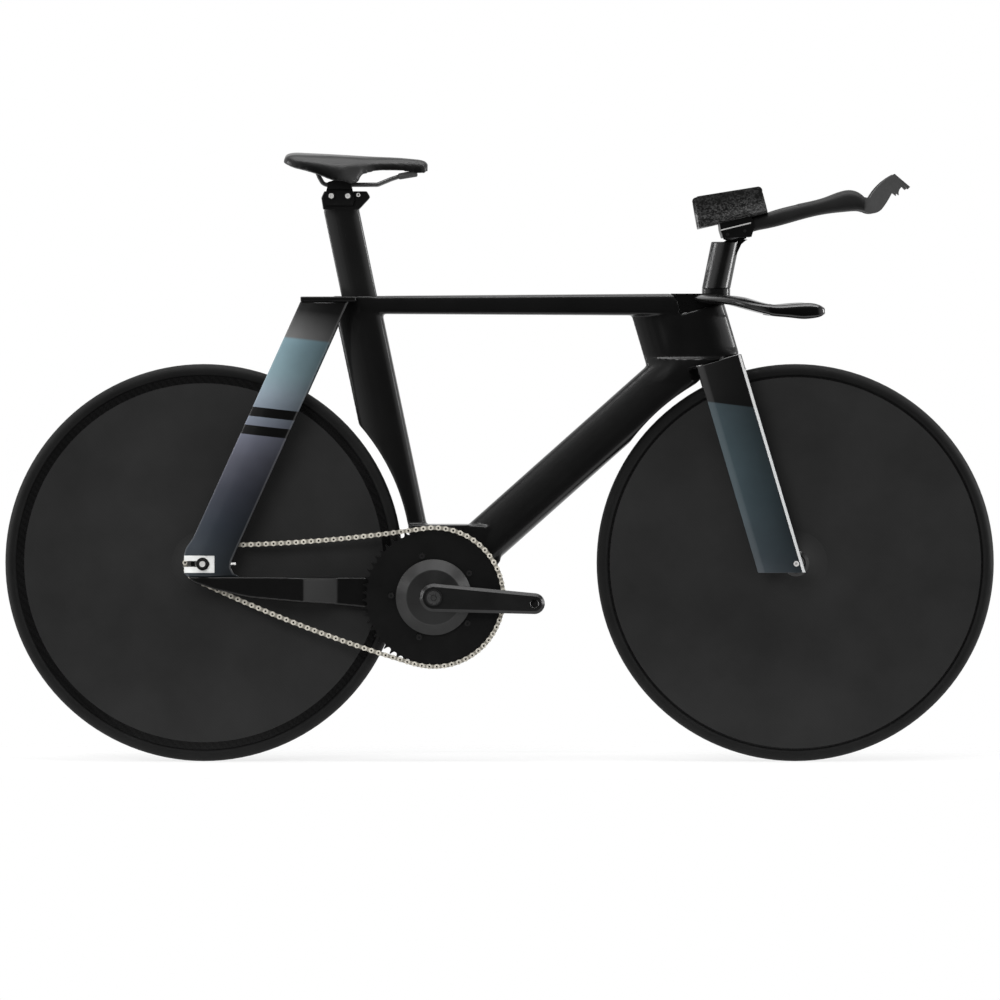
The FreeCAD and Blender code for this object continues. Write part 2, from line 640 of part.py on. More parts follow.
def chain_stretches(sag_radius):
    """The loop's four stretches, each as a length in pitches and a function to place a pin."""
    over = sag_centre(sag_radius + RING_PITCH, sag_radius + COG_PITCH)
    under = sag_centre(sag_radius - RING_PITCH, sag_radius - COG_PITCH)
    ring_top = bearing(BB, over)
    ring_low = bearing(under, BB)
    cog_low = bearing(under, REAR_AXLE)
    cog_top = bearing(REAR_AXLE, over)
    over_start = bearing(over, REAR_AXLE)
    ring_turn = (ring_top - ring_low) % FULL_TURN
    low_turn = (ring_low - cog_low) % FULL_TURN
    cog_turn = (cog_low - cog_top) % FULL_TURN
    over_turn = (bearing(over, BB) - over_start) % FULL_TURN
    sag_step = CHAIN_PITCH / sag_radius
    return [
        (ring_turn / RING_STEP, lambda count: polar(BB, RING_PITCH, ring_top - count * RING_STEP)),
        (low_turn / sag_step, lambda count: polar(under, sag_radius, ring_low - count * sag_step)),
        (cog_turn / COG_STEP, lambda count: polar(REAR_AXLE, COG_PITCH, cog_low - count * COG_STEP)),
        (over_turn / sag_step, lambda count: polar(over, sag_radius, over_start + count * sag_step)),
    ], ring_top, cog_low


def loop_length(sag_radius):
    """Whole loop in pitches."""
    return sum(length for length, place in chain_stretches(sag_radius)[0])


flattest = 1000 * WHEELBASE
tightest = 2 * CHAINSTAY_LENGTH
link_count = 2 * math.ceil(loop_length(flattest) / 2)
for step in range(80):
    middle = math.sqrt(tightest * flattest)
    if loop_length(middle) > link_count:
        tightest = middle
    else:
        flattest = middle
stretches, ring_phase, cog_low = chain_stretches(flattest)
pins = []
for index in range(link_count):
    left = float(index)
    for length, place in stretches:
        if left <= length:
            break
        left -= length
    pins.append(place(left))
before_cog = stretches[0][0] + stretches[1][0]
first_on_cog = math.ceil(before_cog) - before_cog
cog_phase = cog_low - first_on_cog * COG_STEP
print("chain links", link_count, "sag radius", round(flattest))


def link_plate(near, far):
    """Waisted plate between two pins at plus and minus half a pitch."""
    half = CHAIN_PITCH / 2
    shoulder_x = half - LINK_PLATE_RADIUS * 0.6
    edge = LINK_PLATE_RADIUS * 0.8
    far_end = half + LINK_PLATE_RADIUS
    return side_prism([
        (shoulder_x, -edge), ((far_end, 0), (shoulder_x, edge)), ((0, LINK_WAIST), (-shoulder_x, edge)),
        ((-far_end, 0), (-shoulder_x, -edge)), ((0, -LINK_WAIST), (shoulder_x, -edge))], near, far)


inner_half = LINK_INNER_WIDTH / 2
outer_half = inner_half + LINK_PLATE + LINK_PLATE_GAP
inner_link = link_plate(inner_half, inner_half + LINK_PLATE)
inner_link = inner_link.fuse(mirrored(inner_link))
outer_link = link_plate(outer_half, outer_half + LINK_PLATE)
outer_link = outer_link.fuse(mirrored(outer_link))
pin_half = outer_half + LINK_PLATE + PIN_END
for end in (-CHAIN_PITCH / 2, CHAIN_PITCH / 2):
    at = Vector(end, 0, 0)
    inner_link = inner_link.fuse(rod(at, ROLLER_RADIUS, -inner_half, inner_half))
    inner_link = inner_link.cut(rod(at, PIN_RADIUS + PIN_GAP, -pin_half, pin_half))
    outer_link = outer_link.fuse(rod(at, PIN_RADIUS, -pin_half, pin_half))
inner_links = []
outer_links = []
for index, start in enumerate(pins):
    end = pins[(index + 1) % link_count]
    angle = math.degrees(bearing(start, end))
    link = (inner_link if index % 2 == 0 else outer_link).copy()
    link.rotate(Vector(0, 0, 0), SIDE, -angle)
    link.translate((start + end) / 2 - SIDE * CHAIN_LINE)
    (inner_links if index % 2 == 0 else outer_links).append(link)
save("chain_inner_links", *inner_links)
save("chain_outer_links", *outer_links)


def sprocket(centre, teeth, phase, width):
    """Toothed disc whose tooth gaps sit under the chain's rollers."""
    radius = pitch_radius(teeth)
    step = 2 * math.pi / teeth
    gap = ROLLER_RADIUS + ROLLER_GAP
    flank = math.radians(TOOTH_FLANK)
    root = (gap * math.cos(flank), -gap * math.sin(flank))
    tip = (root[0] + (TOOTH_TIP - root[1]) * math.tan(flank), TOOTH_TIP)

    def place(angle, across, upward):
        x = centre.x + (radius + upward) * math.cos(angle) - across * math.sin(angle)
        z = centre.z + (radius + upward) * math.sin(angle) + across * math.cos(angle)
        return (x, z)

    points = [place(phase, -tip[0], tip[1])]
    for index in range(teeth):
        angle = phase + index * step
        points.append(place(angle, -root[0], root[1]))
        points.append((place(angle, 0, -gap), place(angle, root[0], root[1])))
        points.append(place(angle, tip[0], tip[1]))
        if index < teeth - 1:
            points.append(place(angle + step, -tip[0], tip[1]))
    return side_prism(points, -CHAIN_LINE - width / 2, -CHAIN_LINE + width / 2)


# Crankset: a spindle through the bottom bracket, two arms, and a solid chainring bolted to the
# tabs of a round power meter.
ring_out = CHAIN_LINE + TOOTH_WIDTH / 2
ring_in = CHAIN_LINE - TOOTH_WIDTH / 2
spider_out = ring_out + SPIDER_DEPTH
arm_out = spider_out + CRANK_THICKNESS
bolt_radius = RING_BOLT_CIRCLE / 2
bolt_places = []
for index in range(RING_BOLT_COUNT):
    angle = math.radians(RING_BOLT_START + index * 360 / RING_BOLT_COUNT)
    bolt_places.append(Vector(BB.x + bolt_radius * math.cos(angle), 0, BB.z + bolt_radius * math.sin(angle)))
tab_in = ring_in - SPIDER_TAB
power_meter = turned(
    BB, (-tab_in, SPINDLE_RADIUS), (-tab_in, SPIDER_FACE_RADIUS), (-ring_in, SPIDER_RADIUS),
    (-ring_out - SPIDER_DEPTH * 0.35, SPIDER_RADIUS), (-spider_out, SPIDER_FACE_RADIUS),
    (-spider_out, SPINDLE_RADIUS))
ring_bolts = []
bolt_holes = []
for place in bolt_places:
    outward = (place - BB).normalize() * SPIDER_TAB_HALF_WIDTH
    across = Vector(-outward.z, 0, outward.x)
    root = BB + outward * (SPIDER_FACE_RADIUS * 0.8 / SPIDER_TAB_HALF_WIDTH)
    corners = [root - across, place - across, place + outward, place + across, root + across]
    tab = side_prism([
        (corners[0].x, corners[0].z), (corners[1].x, corners[1].z),
        ((corners[2].x, corners[2].z), (corners[3].x, corners[3].z)), (corners[4].x, corners[4].z)],
        -ring_in, -tab_in)
    power_meter = power_meter.fuse(tab)
    bolt_holes.append(rod(place, RING_BOLT_RADIUS, -tab_in + 1, -ring_out - 1))
    ring_bolts.append(rod(place, RING_BOLT_RADIUS, -tab_in, -ring_out).fuse(
        rod(place, RING_BOLT_HEAD_RADIUS, -ring_out, -ring_out - RING_BOLT_HEAD)))
power_meter = power_meter.cut(bolt_holes)
chainring = sprocket(BB, RING_TEETH, ring_phase, TOOTH_WIDTH)
chainring = chainring.cut([rod(BB, SPIDER_RADIUS, 0, -2 * CHAIN_LINE)] + bolt_holes)


def crank_outline(side, inset):
    """Tapered arm between a round root and a round tip, drawn in by an inset."""
    root = CRANK_ROOT_RADIUS - inset
    tip = CRANK_TIP_RADIUS - inset
    lean = math.asin((root - tip) / CRANK_LENGTH)
    across = math.cos(lean)
    ahead = math.sin(lean)
    return outline(
        lambda x, z: BB + Vector(x, side, z),
        (root * ahead, root * across), ((-root, 0), (root * ahead, -root * across)),
        (CRANK_LENGTH + tip * ahead, -tip * across),
        ((CRANK_LENGTH + tip, 0), (CRANK_LENGTH + tip * ahead, tip * across)))


flat_end = -arm_out + CRANK_BEVEL
crank_arm = pillar(crank_outline(-spider_out, 0), SIDE * (flat_end + spider_out))
crank_arm = crank_arm.fuse(
    loft([crank_outline(flat_end, 0), crank_outline(-arm_out, CRANK_BEVEL)], True))
pedal_eye = BB + Vector(CRANK_LENGTH, 0, 0)
crank_arm = crank_arm.cut([
    rod(BB, SPINDLE_RADIUS, 0, -2 * arm_out), rod(pedal_eye, PEDAL_THREAD_RADIUS, 0, -2 * arm_out)])
crank_right = crank_arm.copy()
crank_right.rotate(BB, SIDE, -CRANK_TILT)
crank_left = mirrored(crank_arm)
crank_left.rotate(BB, SIDE, 180 - CRANK_TILT)
crank_bolt = rod(BB, CRANK_BOLT_RADIUS, -arm_out, -arm_out - CRANK_BOLT_HEIGHT)
crank_bolt = crank_bolt.cut(hexagon(BB, CRANK_BOLT_HEX, -arm_out - 2 * CRANK_BOLT_HEIGHT, -arm_out - 0.5))
save("crank_spindle", rod(BB, SPINDLE_RADIUS, -arm_out, arm_out))
save("crank_arm_right", crank_right)
save("crank_arm_left", crank_left)
save("crank_bolts", crank_bolt, mirrored(crank_bolt))
save("power_meter", power_meter)
save("chainring", chainring)
save("chainring_bolts", *ring_bolts)


# Wheels: a tyre on a rim, and two swelling disc skins from the rim to the hub.
def tyre(axle):
    """Open tyre whose beads sit between the rim's flanges."""
    half = TYRE_WIDTH / 2
    bead = RIM_HALF_WIDTH - RIM_FLANGE
    waist = (RIM_RADIUS + TYRE_RADIUS) / 2
    low = RIM_RADIUS - BEAD_SEAT
    inner = bead - TYRE_WALL
    slope = half * 0.72
    crown = TYRE_RADIUS - half * 0.28
    return turned(
        axle, (-bead, low), (-bead, RIM_RADIUS), ((-half, waist), (-slope, crown)),
        ((0, TYRE_RADIUS), (slope, crown)), ((half, waist), (bead, RIM_RADIUS)), (bead, low),
        (inner, low), (inner, RIM_RADIUS),
        ((half - TYRE_WALL, waist), (slope - TYRE_WALL * 0.7, crown - TYRE_WALL * 0.7)),
        ((0, TYRE_RADIUS - TYRE_WALL * 1.4), (TYRE_WALL * 0.7 - slope, crown - TYRE_WALL * 0.7)),
        ((TYRE_WALL - half, waist), (-inner, RIM_RADIUS)), (-inner, low))


def rim(axle, disc_radius):
    """Rim with a flange on each side and a ledge for each disc skin."""
    ledge_half = RIM_HALF_WIDTH - DISC_SKIN
    inside = RIM_HALF_WIDTH - RIM_FLANGE
    base = RIM_RADIUS - RIM_DEPTH
    bed = RIM_RADIUS - BEAD_SEAT
    return turned(
        axle, (-ledge_half, base), (-ledge_half, disc_radius), (-RIM_HALF_WIDTH, disc_radius),
        (-RIM_HALF_WIDTH, RIM_RADIUS), (-inside, RIM_RADIUS), (-inside, bed),
        ((0, bed - RIM_WELL), (inside, bed)), (inside, RIM_RADIUS), (RIM_HALF_WIDTH, RIM_RADIUS),
        (RIM_HALF_WIDTH, disc_radius), (ledge_half, disc_radius), (ledge_half, base))


def disc_skin(axle, disc_radius, boss_half, hub_radius):
    """Right hand disc skin, which swells towards a boss round the hub."""
    edge = RIM_HALF_WIDTH
    swollen = edge + DISC_SWELL
    middle = (disc_radius + BOSS_RADIUS) / 2
    halfway = edge + DISC_SWELL * 0.56
    boss_middle = (swollen * 0.72 + boss_half * 0.28, (BOSS_RADIUS + hub_radius) / 2 - 1)
    return turned(
        axle, (-edge, disc_radius), ((-halfway, middle), (-swollen, BOSS_RADIUS)),
        ((-boss_middle[0], boss_middle[1]), (-boss_half, hub_radius)),
        (DISC_SKIN - boss_half, hub_radius),
        ((DISC_SKIN - boss_middle[0], boss_middle[1]), (DISC_SKIN - swollen, BOSS_RADIUS)),
        ((DISC_SKIN - halfway, middle), (DISC_SKIN - edge, disc_radius)))


def hub_bearing(axle, hub_half):
    """Right hand bearing at the end of a hub."""
    return tube(axle, HUB_BEARING_RADIUS, AXLE_RADIUS + RUNNING_GAP,
                -hub_half, HUB_BEARING_WIDTH - hub_half)


hub_clear = AXLE_RADIUS + 2
rear_seat = rear_hub_half - HUB_BEARING_WIDTH
rear_hub = turned(
    REAR_AXLE, (-rear_hub_half, HUB_BEARING_RADIUS), (-rear_hub_half, COG_BORE - 1),
    (-ring_out, COG_BORE - 1), (-ring_out, COG_BORE), (-ring_in, COG_BORE),
    (-ring_in, LOCKRING_RADIUS), (-REAR_BOSS_HALF, REAR_HUB_RADIUS), (REAR_BOSS_HALF, REAR_HUB_RADIUS),
    (ring_in, LOCKRING_RADIUS), (rear_hub_half, COG_BORE), (rear_hub_half, HUB_BEARING_RADIUS),
    (rear_seat, HUB_BEARING_RADIUS), (rear_seat, hub_clear), (-rear_seat, hub_clear),
    (-rear_seat, HUB_BEARING_RADIUS))
rear_cog = sprocket(REAR_AXLE, COG_TEETH, cog_phase, TOOTH_WIDTH)
rear_cog = rear_cog.cut(rod(REAR_AXLE, COG_BORE, 0, -2 * CHAIN_LINE))
lockring = tube(REAR_AXLE, LOCKRING_RADIUS, COG_BORE - 1, -ring_out - LOCKRING_WIDTH, -ring_out)
rear_disc = disc_skin(REAR_AXLE, REAR_DISC_RADIUS, REAR_BOSS_HALF, REAR_HUB_RADIUS)
rear_bearing = hub_bearing(REAR_AXLE, rear_hub_half)
save("rear_tyre", tyre(REAR_AXLE))
save("rear_rim", rim(REAR_AXLE, REAR_DISC_RADIUS))
save("rear_disc_right", rear_disc)
save("rear_disc_left", mirrored(rear_disc))
save("rear_hub", rear_hub)
save("rear_hub_bearings", rear_bearing, mirrored(rear_bearing))
save("rear_cog", rear_cog)
save("rear_lockring", lockring)

leg_inner = FRONT_SPACING / 2
leg_outer = leg_inner + LEG_THICKNESS
front_hub_half = FRONT_BOSS_HALF + 4
front_seat = front_hub_half - HUB_BEARING_WIDTH
front_hub = turned(
    FRONT_AXLE, (-front_hub_half, HUB_BEARING_RADIUS), (-front_hub_half, HUB_BEARING_RADIUS + 2.5),
    (-FRONT_BOSS_HALF, FRONT_HUB_RADIUS), (FRONT_BOSS_HALF, FRONT_HUB_RADIUS),
    (front_hub_half, HUB_BEARING_RADIUS + 2.5), (front_hub_half, HUB_BEARING_RADIUS),
    (front_seat, HUB_BEARING_RADIUS), (front_seat, hub_clear), (-front_seat, hub_clear),
    (-front_seat, HUB_BEARING_RADIUS))
front_disc = disc_skin(FRONT_AXLE, FRONT_DISC_RADIUS, FRONT_BOSS_HALF, FRONT_HUB_RADIUS)
front_bearing = hub_bearing(FRONT_AXLE, front_hub_half)
save("front_tyre", tyre(FRONT_AXLE))
save("front_rim", rim(FRONT_AXLE, FRONT_DISC_RADIUS))
save("front_disc_right", front_disc)
save("front_disc_left", mirrored(front_disc))
save("front_hub", front_hub)
save("front_hub_bearings", front_bearing, mirrored(front_bearing))

# Fork: two flat legs set wide of the wheel, a thin crown arched over the tyre and a steerer.
# The axle is clamped between the legs by a sunk bolt on each side.
leg_mid = (leg_inner + leg_outer) / 2
leg = steer_prism([
    (LEG_NOSE, -leg_mid + 4), (LEG_NOSE, -leg_mid + 1), (LEG_NOSE - LEG_NOSE_BEVEL, -leg_outer),
    (LEG_TAIL_BEVEL - LEG_TAIL, -leg_outer), (-LEG_TAIL, -leg_mid - 1.5), (-LEG_TAIL, -leg_mid + 1.5),
    (LEG_TAIL_BEVEL - LEG_TAIL, -leg_inner), (LEG_NOSE - LEG_NOSE_BEVEL, -leg_inner)],
    -3 * LEG_DROP, CROWN_TOP)
crown = steer_prism([
    (-CROWN_TAIL, -leg_mid), (LEG_NOSE, -leg_mid), (LEG_NOSE, leg_mid), (-CROWN_TAIL, leg_mid)],
    TYRE_RADIUS * 0.8, CROWN_TOP)
crown = crown.cut(rod(FRONT_AXLE, TYRE_RADIUS + CROWN_GAP, -leg_outer, leg_outer))
steerer_top = HEAD_TOP + STEM_HEIGHT - STEM_CAP_DEPTH
fork = leg.fuse([mirrored(leg), crown, steer_rod(STEERER_RADIUS, CROWN_TOP - 5, steerer_top)])
ground_block = above(0)
ground_block.translate(Vector(0, 0, TYRE_RADIUS - LEG_DROP - ground_block.BoundBox.ZLength))
sink = leg_outer - AXLE_BOLT_HEAD
bolt_hole = rod(FRONT_AXLE, AXLE_BOLT_RADIUS, -2 * leg_outer, 2 * leg_outer)
head_hole = rod(FRONT_AXLE, AXLE_BOLT_HEAD_RADIUS, sink, 2 * leg_outer)
fork = fork.cut([ground_block, bolt_hole, head_hole, mirrored(head_hole)])
axle_shoulder = front_hub_half + HUB_END_GAP
bolt_end = leg_inner - 4 * AXLE_BOLT_HEAD
front_axle = turned(
    FRONT_AXLE, (-leg_inner, 0), (-leg_inner, shoulder_radius), (-axle_shoulder, shoulder_radius),
    (-axle_shoulder, AXLE_RADIUS), (axle_shoulder, AXLE_RADIUS), (axle_shoulder, shoulder_radius),
    (leg_inner, shoulder_radius), (leg_inner, 0))
axle_thread = rod(FRONT_AXLE, AXLE_BOLT_RADIUS, bolt_end, leg_outer)
front_axle = front_axle.cut([axle_thread, mirrored(axle_thread)])
axle_bolt = rod(FRONT_AXLE, AXLE_BOLT_RADIUS, bolt_end, sink).fuse(
    rod(FRONT_AXLE, AXLE_BOLT_HEAD_RADIUS, sink, leg_outer))
axle_bolt = axle_bolt.cut(hexagon(FRONT_AXLE, AXLE_BOLT_HEAD_RADIUS, sink + 1, leg_outer + 1))
save("fork", fork)
save("front_axle", front_axle)
save("front_axle_bolts", axle_bolt, mirrored(axle_bolt))

# Base bar: a stem over the steerer whose round back turns in a hollow at the end of the top tube,
# and two thin wings that sweep forward into grips.
FORWARD = Vector(1, 0, 0)
stem_half = STEM_WIDTH / 2
stem_corner = -math.sqrt(STEM_BACK_RADIUS ** 2 - stem_half ** 2)
stem = steer_prism([
    (stem_corner, -stem_half), (STEM_FRONT, -stem_half * 0.85), (STEM_FRONT, stem_half * 0.85),
    (stem_corner, stem_half), ((-STEM_BACK_RADIUS, 0), (stem_corner, -stem_half))],
    HEAD_TOP + HEAD_GAP, HEAD_TOP + 2 * STEM_HEIGHT)
stem = stem.cut(above(STEM_TOP.z))
# Each row is reach, side share, drop, chord, thickness and turn from sideways to forward
WING_ROWS = [
    (40.0, 0.0, 9.5, 74.0, 17.0, 0.0),
    (44.0, 0.22, 9.5, 66.0, 16.0, 4.0),
    (62.0, 0.54, 10.5, 50.0, 14.5, 18.0),
    (90.0, 0.81, 15.5, 41.0, 16.0, 42.0),
    (121.0, 0.96, 24.4, 33.0, 18.0, 66.0),
    (146.0, 1.0, 28.6, 24.0, 17.5, 90.0)]
# Each row is a share of the grip's length, drop, width and height
GRIP_ROWS = [
    (0.0, 26.6, 30.0, 20.0),
    (0.2, 28.7, 29.0, 20.5),
    (0.42, 28.8, 29.0, 24.0),
    (0.62, 29.0, 29.0, 27.0),
    (0.79, 28.6, 28.0, 25.5),
    (0.91, 29.0, 23.0, 20.0),
    (1.0, 29.0, 10.0, 9.0)]
bar_sections = []
for reach_x, share, drop, chord, thick, turn in WING_ROWS:
    centre = STEM_TOP + Vector(reach_x, -BAR_HALF_WIDTH * share, -drop)
    across = Vector(math.cos(math.radians(turn)), math.sin(math.radians(turn)), 0)
    bar_sections.append(oval(centre, across, UP, chord / 2, thick / 2, 2.3))
wing = loft(bar_sections)
grip_sections = []
for share, drop, width, height in GRIP_ROWS:
    centre = STEM_TOP + Vector(BAR_GRIP_START + BAR_GRIP_LENGTH * share, -BAR_HALF_WIDTH, -drop)
    grip_sections.append(oval(centre, SIDE, UP, width / 2, height / 2, 2.3))
bar_grip = loft(grip_sections)
base_bar = stem.fuse([wing, bar_grip, mirrored(wing), mirrored(bar_grip)])
cap_low = steerer_top
cap_room = steer_rod(STEM_CAP_RADIUS, cap_low, HEAD_TOP + 3 * STEM_HEIGHT)
nose_room = steer_rod(HEAD_NOSE + STEM_GAP, HEAD_BOTTOM, HEAD_TOP + HEAD_GAP)
base_bar = base_bar.cut([steer_rod(STEERER_RADIUS, HEAD_TOP - 1, steerer_top), cap_room, nose_room])
save("base_bar", base_bar)
stem_cap = steer_rod(STEM_CAP_RADIUS, cap_low, cap_low + STEM_CAP_HEIGHT)
save("stem_cap", stem_cap)

# Riser: a spacer and a leaning column with a tongue, on which the arm rests tilt.
rest_mark = STEM_TOP + Vector(RISER_REACH, 0, RISER_HEIGHT)
tilt = rest_mark + Vector(10, 0, 17)
column_top = rest_mark + Vector(-5, 0, 2)
column_foot = Vector(column_top.x - RISER_LEAN, 0, STEM_TOP.z + SPACER_HEIGHT)


def from_mark(x, z):
    """Side view point measured from the mark at the top of the riser."""
    return (rest_mark.x + x, rest_mark.z + z)


def column_section(centre):
    """Level section of the riser."""
    return oval(centre, FORWARD, SIDE, RISER_CHORD / 2, RISER_WIDTH / 2, 2.6)


spacer_depth = SPACER_HEIGHT + STEM_CAP_DEPTH
riser_spacer = pillar(column_section(column_foot - UP * spacer_depth), UP * spacer_depth)
riser_spacer = riser_spacer.cut([base_bar, stem_cap])
riser_spacer = max(riser_spacer.Solids, key=lambda solid: solid.Volume)
tongue_half = TONGUE_WIDTH / 2
tongue_root = column_top + Vector(RISER_CHORD / 8, 0, -RISER_CHORD / 8)
tongue = rod(tilt, TONGUE_RADIUS, -tongue_half, tongue_half).fuse(side_prism([
    (tilt.x - TONGUE_RADIUS, tilt.z), (tilt.x - TONGUE_RADIUS, tongue_root.z),
    (tongue_root.x + TONGUE_RADIUS, tongue_root.z), (tilt.x + TONGUE_RADIUS, tilt.z)],
    -tongue_half, tongue_half))
riser = loft([column_section(column_foot), column_section(column_top)])
riser = riser.fuse(tongue)
riser = riser.cut(rod(tilt, TILT_PIN_RADIUS + RUNNING_GAP, -RISER_WIDTH, RISER_WIDTH))
save("riser_spacer", riser_spacer)
save("riser", riser)

# Arm rests: a cradle that tilts on the riser's tongue clamps two extensions, each with a hand
# grip, and carries two trough-shaped cups with foam pads.
EXTENSION_ROWS = [
    (-7.0, 20.5, 24.0, 30.0), (36.0, 30.2, 26.0, 32.0), (67.0, 38.1, 27.0, 33.5),
    (121.0, 52.8, 27.7, 35.0), (168.0, 64.2, 29.6, 36.0), (203.0, 71.0, 35.5, 37.0),
    (217.0, 69.5, 31.0, 36.0), (226.5, 65.0, 26.0, 34.0)]
extension = loft([
    oval(rest_mark + Vector(x, -EXTENSION_SPREAD, z), SIDE, UP, width / 2, height / 2, 2.6)
    for x, z, height, width in EXTENSION_ROWS])
cup_start = rest_mark + Vector(-51, 0, 23)
cup_radians = math.radians(CUP_TILT)
cup_along = Vector(math.cos(cup_radians), 0, math.sin(cup_radians))
cup_up = Vector(-math.sin(cup_radians), 0, math.cos(cup_radians))


def cup(along, side, up):
    """Point in the frame of the right arm cup, from the rear end of its floor."""
    return cup_start + cup_along * along + SIDE * (side - CUP_SPREAD) + cup_up * up


CUP_INNER_TURN = math.radians(50)


def cup_arc(radius, turn):
    """Point on the cup's round floor, turned from its lowest line towards the middle."""
    return (radius * math.sin(turn), CUP_RADIUS - radius * math.cos(turn))


cup_bore = CUP_RADIUS - CUP_WALL
wall_top = 1.5 * CUP_HEIGHT
cup_trough = pillar(
    outline(lambda y, z: cup(-CUP_HEIGHT, y, z),
            (-CUP_RADIUS, wall_top), (-CUP_RADIUS, CUP_RADIUS),
            (cup_arc(CUP_RADIUS, -0.4), cup_arc(CUP_RADIUS, CUP_INNER_TURN)),
            cup_arc(cup_bore, CUP_INNER_TURN),
            (cup_arc(cup_bore, -0.4), (-cup_bore, CUP_RADIUS)), (-cup_bore, wall_top)),
    cup_along * (CUP_LENGTH + 2 * CUP_HEIGHT))
cup_hull = pillar(
    outline(lambda y, z: cup(-CUP_HEIGHT, y, z),
            (-CUP_RADIUS, wall_top), (-CUP_RADIUS, CUP_RADIUS), ((0, 0), (CUP_RADIUS, CUP_RADIUS)),
            (CUP_RADIUS, wall_top)),
    cup_along * (CUP_LENGTH + 2 * CUP_HEIGHT))
cup_profile = side_prism([
    from_mark(-51, 20), from_mark(65, 48), from_mark(54, 86), (from_mark(52, 92), from_mark(46, 94)),
    from_mark(-53, 78), (from_mark(-57.5, 75.5), from_mark(-59, 71))],
    -3 * CUP_RADIUS, 0)
arm_cup = cup_trough.common(cup_profile)
PAD_ROWS = [(10.0, 0.55), (22.0, 0.9), (55.0, 1.0), (85.0, 0.9), (98.0, 0.55)]
pad_base = cup_bore - RUNNING_GAP
pad_sections = []
for along, fullness in PAD_ROWS:
    pad_top = pad_base - PAD_THICKNESS * fullness
    pad_mid = pad_base - PAD_THICKNESS * fullness / 2
    pad_sections.append(outline(
        lambda y, z: cup(along, y, z),
        cup_arc(pad_base, -1.25), (cup_arc(pad_base, -0.3), cup_arc(pad_base, 0.62)),
        (cup_arc(pad_mid, 0.68), cup_arc(pad_top, 0.62)),
        (cup_arc(pad_top, -0.3), cup_arc(pad_top, -1.25)),
        (cup_arc(pad_mid, -1.32), cup_arc(pad_base, -1.25))))
arm_pad = loft(pad_sections)
cradle = side_prism([
    from_mark(-17, 38), from_mark(-15, 21), from_mark(-11, 8), from_mark(37, 10), from_mark(41, 24),
    from_mark(37, 45)], -CRADLE_HALF_WIDTH, CRADLE_HALF_WIDTH)
slot_side = tongue_half + TILT_GAP
slot_radius = TONGUE_RADIUS + TILT_GAP
slot_depth = tilt.z - rest_mark.z
slot_end = slot_radius / math.cos(math.radians(TILT_LIMIT)) + slot_depth * math.tan(math.radians(TILT_LIMIT))
tongue_room = rod(tilt, slot_radius, -slot_side, slot_side).fuse(side_prism([
    (tilt.x - slot_radius, tilt.z), (tilt.x - slot_end, tilt.z - slot_depth),
    (tilt.x + slot_end, tilt.z - slot_depth), (tilt.x + slot_radius, tilt.z)], -slot_side, slot_side))
tilt_pin = rod(tilt, TILT_PIN_RADIUS, -TILT_PIN_LENGTH / 2, TILT_PIN_LENGTH / 2)
cradle = cradle.cut([
    tongue_room, tilt_pin, extension, mirrored(extension), cup_hull, mirrored(cup_hull)])
extension = extension.cut(cup_hull)
grip_near = -EXTENSION_SPREAD - GRIP_THICKNESS / 2
hand_grip = side_prism([
    from_mark(226.5, 53), from_mark(226.5, 77), from_mark(236, 75), (from_mark(254, 99), from_mark(278, 116)),
    from_mark(304, 94), from_mark(300, 90), from_mark(294, 96), (from_mark(287, 91), from_mark(285, 80)),
    from_mark(278, 85), from_mark(273, 83), (from_mark(264, 67), from_mark(256, 56)),
    (from_mark(243, 49.5), from_mark(226.5, 53))], grip_near, grip_near + GRIP_THICKNESS)
save("extension_cradle", cradle)
save("extension_right", extension)
save("extension_left", mirrored(extension))
save("arm_cup_right", arm_cup)
save("arm_cup_left", mirrored(arm_cup))
save("arm_pad_right", arm_pad)
save("arm_pad_left", mirrored(arm_pad))
save("tilt_pin", tilt_pin)
save("hand_grips", hand_grip, mirrored(hand_grip))

# Seatpost: an aerofoil post held by a wedge at the front of its socket.
post_low = SEAT_TOP - POST_INSERT
post_top = SEAT_TOP + POST_EXPOSED
post = pillar(
    foil(lambda p, y: seat(p, y, post_low), POST_NOSE, -POST_NOSE, POST_WIDTH, 0.2),
    SEAT_UP * (post_top - post_low))
head_mark = seat(0, 0, post_top)


def from_head(x, z):
    """Side view point measured from the top of the seatpost's aerofoil."""
    return (head_mark.x + x, head_mark.z + z)


post = post.cut(above(head_mark.z))
post_head = side_prism([
    from_head(-30, -3), from_head(-33, 17), from_head(-28, POST_HEAD_HEIGHT), from_head(44, POST_HEAD_HEIGHT),
    from_head(50, 18), from_head(46, 13), from_head(31, -3)], -POST_HEAD_HALF_WIDTH, POST_HEAD_HALF_WIDTH)
clamp_pivot = head_mark + Vector(12, 0, 20)
clamp_second = clamp_pivot - Vector(28, 0, 0)
wedge = pillar(
    outline(lambda p, y: seat(p, y, SEAT_TOP - WEDGE_DEPTH),
            (POST_NOSE - WEDGE_LENGTH, -WEDGE_HALF_WIDTH), (POST_NOSE + WEDGE_LENGTH, -WEDGE_HALF_WIDTH),
            (POST_NOSE + WEDGE_LENGTH, WEDGE_HALF_WIDTH), (POST_NOSE - WEDGE_LENGTH, WEDGE_HALF_WIDTH)),
    SEAT_UP * (2 * WEDGE_DEPTH))
wedge_bolt_foot = seat(POST_NOSE + WEDGE_LENGTH / 2, 0, SEAT_TOP - WEDGE_DEPTH)
wedge_bolt = Part.makeCylinder(WEDGE_BOLT_RADIUS, 2 * WEDGE_DEPTH, wedge_bolt_foot, SEAT_UP)
wedge = wedge.cut([post_room, above(SEAT_TOP_HEIGHT), wedge_bolt])
wedge = max(wedge.Solids, key=lambda solid: solid.Volume)
wedge_bolt = wedge_bolt.cut(above(SEAT_TOP_HEIGHT))
